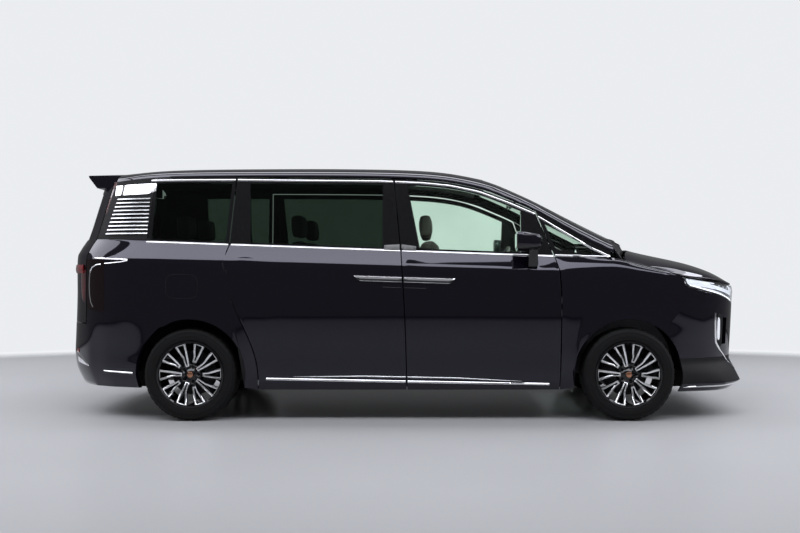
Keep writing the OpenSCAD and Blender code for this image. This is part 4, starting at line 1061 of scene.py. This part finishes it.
def makeRim(spot):
    x0, s = wheelSpots[spot]
    z0 = body["hubHeight"]
    rim = copyOf("rim_" + spot, "spokedRim_" + spot)
    for vertex in rim.data.vertices:
        outer = math.hypot(vertex.co.x - x0, vertex.co.z - z0) > wheelMake["growFrom"]
        grow = wheelMake["rimGrow"] if outer else 1.0
        vertex.co.x = x0 + (vertex.co.x - x0) * grow
        vertex.co.z = z0 + (vertex.co.z - z0) * grow
    dress(rim, ["gloss", "machined", "iron"], "alloy", "wheel_" + spot, ["rim_" + spot])
    (faceIn, faceOut), (faceStart, faceEnd) = wheelMake["faceDepth"], wheelMake["faceReach"]
    discStart, discEnd = wheelMake["discReach"]

    def rule(c, n):
        radius = math.hypot(c.x - x0, c.z - z0)
        depth = s * c.y - body["track"] / 2
        facing = s * n.y > wheelMake["faceTurn"]
        if faceIn < depth < faceOut and facing and faceStart < radius < faceEnd:
            return 1
        if depth < wheelMake["discDepth"] and discStart < radius < discEnd:
            return 2
        return 0

    paintFaces(rim, rule)
    shadeByAngle(rim, wheelMake["rimShade"])


def makeCap(spot):
    x0, s = wheelSpots[spot]
    middle = s * (body["track"] / 2 + capMake["out"] + capMake["depth"] / 2)
    bpy.ops.mesh.primitive_cylinder_add(vertices=48, radius=capMake["radius"], depth=capMake["depth"],
                                        location=(x0, middle, body["hubHeight"]),
                                        rotation=(math.pi / 2, 0, 0))
    cap = bpy.context.object
    cap.name = "hubCap_" + spot
    bpy.ops.object.transform_apply(location=True, rotation=True, scale=True)
    bevelEdges(cap, capMake["edge"], capMake["steps"])
    shadeByAngle(cap, capMake["shade"])
    dress(cap, ["copper"], "alloy", "wheel_" + spot)


def makeBolts(spot):
    x0, s = wheelSpots[spot]
    bolts = []
    for k in range(boltMake["count"]):
        a = math.radians(360 / boltMake["count"] * k + boltMake["turn"])
        at = (x0 + boltMake["ring"] * math.cos(a), s * (body["track"] / 2 + boltMake["out"]),
              body["hubHeight"] - boltMake["ring"] * math.sin(a))
        bpy.ops.mesh.primitive_cylinder_add(vertices=6, radius=boltMake["radius"], depth=boltMake["depth"],
                                            location=at, rotation=(math.pi / 2, 0, 0))
        bolts.append(bpy.context.object)
    bpy.ops.object.select_all(action="DESELECT")
    for bolt in bolts:
        bolt.select_set(True)
    bpy.context.view_layer.objects.active = bolts[0]
    bpy.ops.object.transform_apply(location=True, rotation=True, scale=True)
    bpy.ops.object.join()
    joined = bpy.context.object
    joined.name = "wheelBolts_" + spot
    bevelEdges(joined, boltMake["edge"], boltMake["steps"])
    dress(joined, ["satin"], "alloy", "wheel_" + spot)


for spot in wheelSpots:
    makeTyre(spot)
    makeRim(spot)
    makeCap(spot)
    makeBolts(spot)
print("stage: wheels done")

# studio
studio = {
    "floorHalf": (9.0, 5.3), "floorColor": (0.48, 0.485, 0.49), "floorRough": 0.26, "floorSpecular": 0.25,
    "toneScale": 0.6, "toneDetail": 2.0, "toneShare": 0.97, "edgeFade": (0.84, 0.99),
    "paleColor": (0.95, 0.97, 1.0), "paleStrength": 0.87, "hallStrength": 0.16,
    "camera": (0.164, -7.443, 1.1265), "lens": 40.05, "sensor": 36.0, "shiftX": -26 / 800,
}


def seenRay(tree):
    # 1 for what the eye sees straight or through glass
    path = tree.nodes.new("ShaderNodeLightPath")
    both = tree.nodes.new("ShaderNodeMath")
    both.operation = "MAXIMUM"
    tree.links.new(path.outputs["Is Camera Ray"], both.inputs[0])
    tree.links.new(path.outputs["Is Transmission Ray"], both.inputs[1])
    return both.outputs["Value"]


def floorFinish():
    # the floor fades into the pale backdrop at its rim
    color = studio["floorColor"]
    mat, tree, shader = newFinish("paleFloor", color, studio["floorRough"])
    shader.inputs["Specular IOR Level"].default_value = studio["floorSpecular"]
    value = grain(tree, place(tree), studio["toneScale"], studio["toneDetail"])
    tone = ramp(tree, value, tuple(c * studio["toneShare"] for c in color), color)
    reach = tree.nodes.new("ShaderNodeVectorMath")
    reach.operation = "LENGTH"
    shrink = (1 / studio["floorHalf"][0], 1 / studio["floorHalf"][1], 1)
    tree.links.new(place(tree, shrink), reach.inputs[0])
    rim = tree.nodes.new("ShaderNodeMapRange")
    rim.interpolation_type = "SMOOTHSTEP"
    rim.inputs["From Min"].default_value, rim.inputs["From Max"].default_value = studio["edgeFade"]
    tree.links.new(reach.outputs["Value"], rim.inputs["Value"])
    blend = tree.nodes.new("ShaderNodeMix")
    blend.data_type = "RGBA"
    for socket in blend.inputs:
        if socket.identifier == "A_Color":
            tree.links.new(tone, socket)
        if socket.identifier == "B_Color":
            socket.default_value = (0, 0, 0, 1)
        if socket.identifier == "Factor_Float":
            tree.links.new(rim.outputs["Result"], socket)
    mixed = [o for o in blend.outputs if o.identifier == "Result_Color"][0]
    tree.links.new(mixed, shader.inputs["Base Color"])
    glow = tree.nodes.new("ShaderNodeMath")
    glow.operation = "MULTIPLY"
    tree.links.new(rim.outputs["Result"], glow.inputs[0])
    tree.links.new(seenRay(tree), glow.inputs[1])
    level = tree.nodes.new("ShaderNodeMath")
    level.operation = "MULTIPLY"
    level.inputs[1].default_value = studio["paleStrength"]
    tree.links.new(glow.outputs["Value"], level.inputs[0])
    shader.inputs["Emission Color"].default_value = (*studio["paleColor"], 1.0)
    tree.links.new(level.outputs["Value"], shader.inputs["Emission Strength"])
    return mat


def makeStudio():
    bpy.ops.mesh.primitive_circle_add(vertices=256, radius=1.0, fill_type="NGON")
    floor = bpy.context.object
    floor.name = "studioFloor"
    floor.scale = (*studio["floorHalf"], 1.0)
    bpy.ops.object.transform_apply(location=True, rotation=True, scale=True)
    floor.data.materials.append(floorFinish())


lamps = {
    "ceilingFront": {"at": (0, -3.1, 4.6), "aim": (0, -1.0, 1.0), "size": (17.0, 1.5), "power": 425},
    "ceilingRear": {"at": (0, 3.0, 5.4), "aim": (0, 3.0, 0), "size": (18.0, 1.4), "power": 230},
    "ceilingTop": {"at": (0, 0.2, 5.2), "aim": (0, 0.2, 0), "size": (10.0, 1.4), "power": 170},
    "ceilingNose": {"at": (6.9, 0.6, 4.6), "aim": (6.9, 0.6, 0), "size": (4.6, 4.6), "power": 270},
    "ceilingTail": {"at": (-6.9, 0.6, 4.6), "aim": (-6.9, 0.6, 0), "size": (4.6, 4.6), "power": 270},
}
lampColor = (0.92, 0.93, 1.0)


def makeLights():
    for name, how in lamps.items():
        bpy.ops.object.light_add(type="AREA", location=how["at"])
        lamp = bpy.context.object
        lamp.name = name
        lamp.data.shape = "RECTANGLE"
        lamp.data.size, lamp.data.size_y = how["size"]
        lamp.data.energy = how["power"]
        lamp.data.color = lampColor
        aim = Vector(how["aim"]) - Vector(how["at"])
        lamp.rotation_euler = aim.to_track_quat("-Z", "Y").to_euler()
    world = bpy.data.worlds.new("hall")
    bpy.context.scene.world = world
    world.use_nodes = True
    tree = world.node_tree
    level = tree.nodes.new("ShaderNodeMapRange")
    fill(level, {"To Min": studio["hallStrength"], "To Max": studio["paleStrength"]})
    tree.links.new(seenRay(tree), level.inputs["Value"])
    hall = tree.nodes["Background"]
    hall.inputs["Color"].default_value = (*studio["paleColor"], 1)
    tree.links.new(level.outputs["Result"], hall.inputs["Strength"])


def makeCamera():
    bpy.ops.object.camera_add(location=studio["camera"], rotation=(math.pi / 2, 0, 0))
    camera = bpy.context.object
    camera.name = "photoCamera"
    camera.data.sensor_width = studio["sensor"]
    camera.data.lens = studio["lens"]
    camera.data.shift_x = studio["shiftX"]
    bpy.context.scene.camera = camera


makeStudio()
makeLights()
makeCamera()
bpy.context.scene.view_settings.view_transform = "Standard"
print("stage: studio ready")
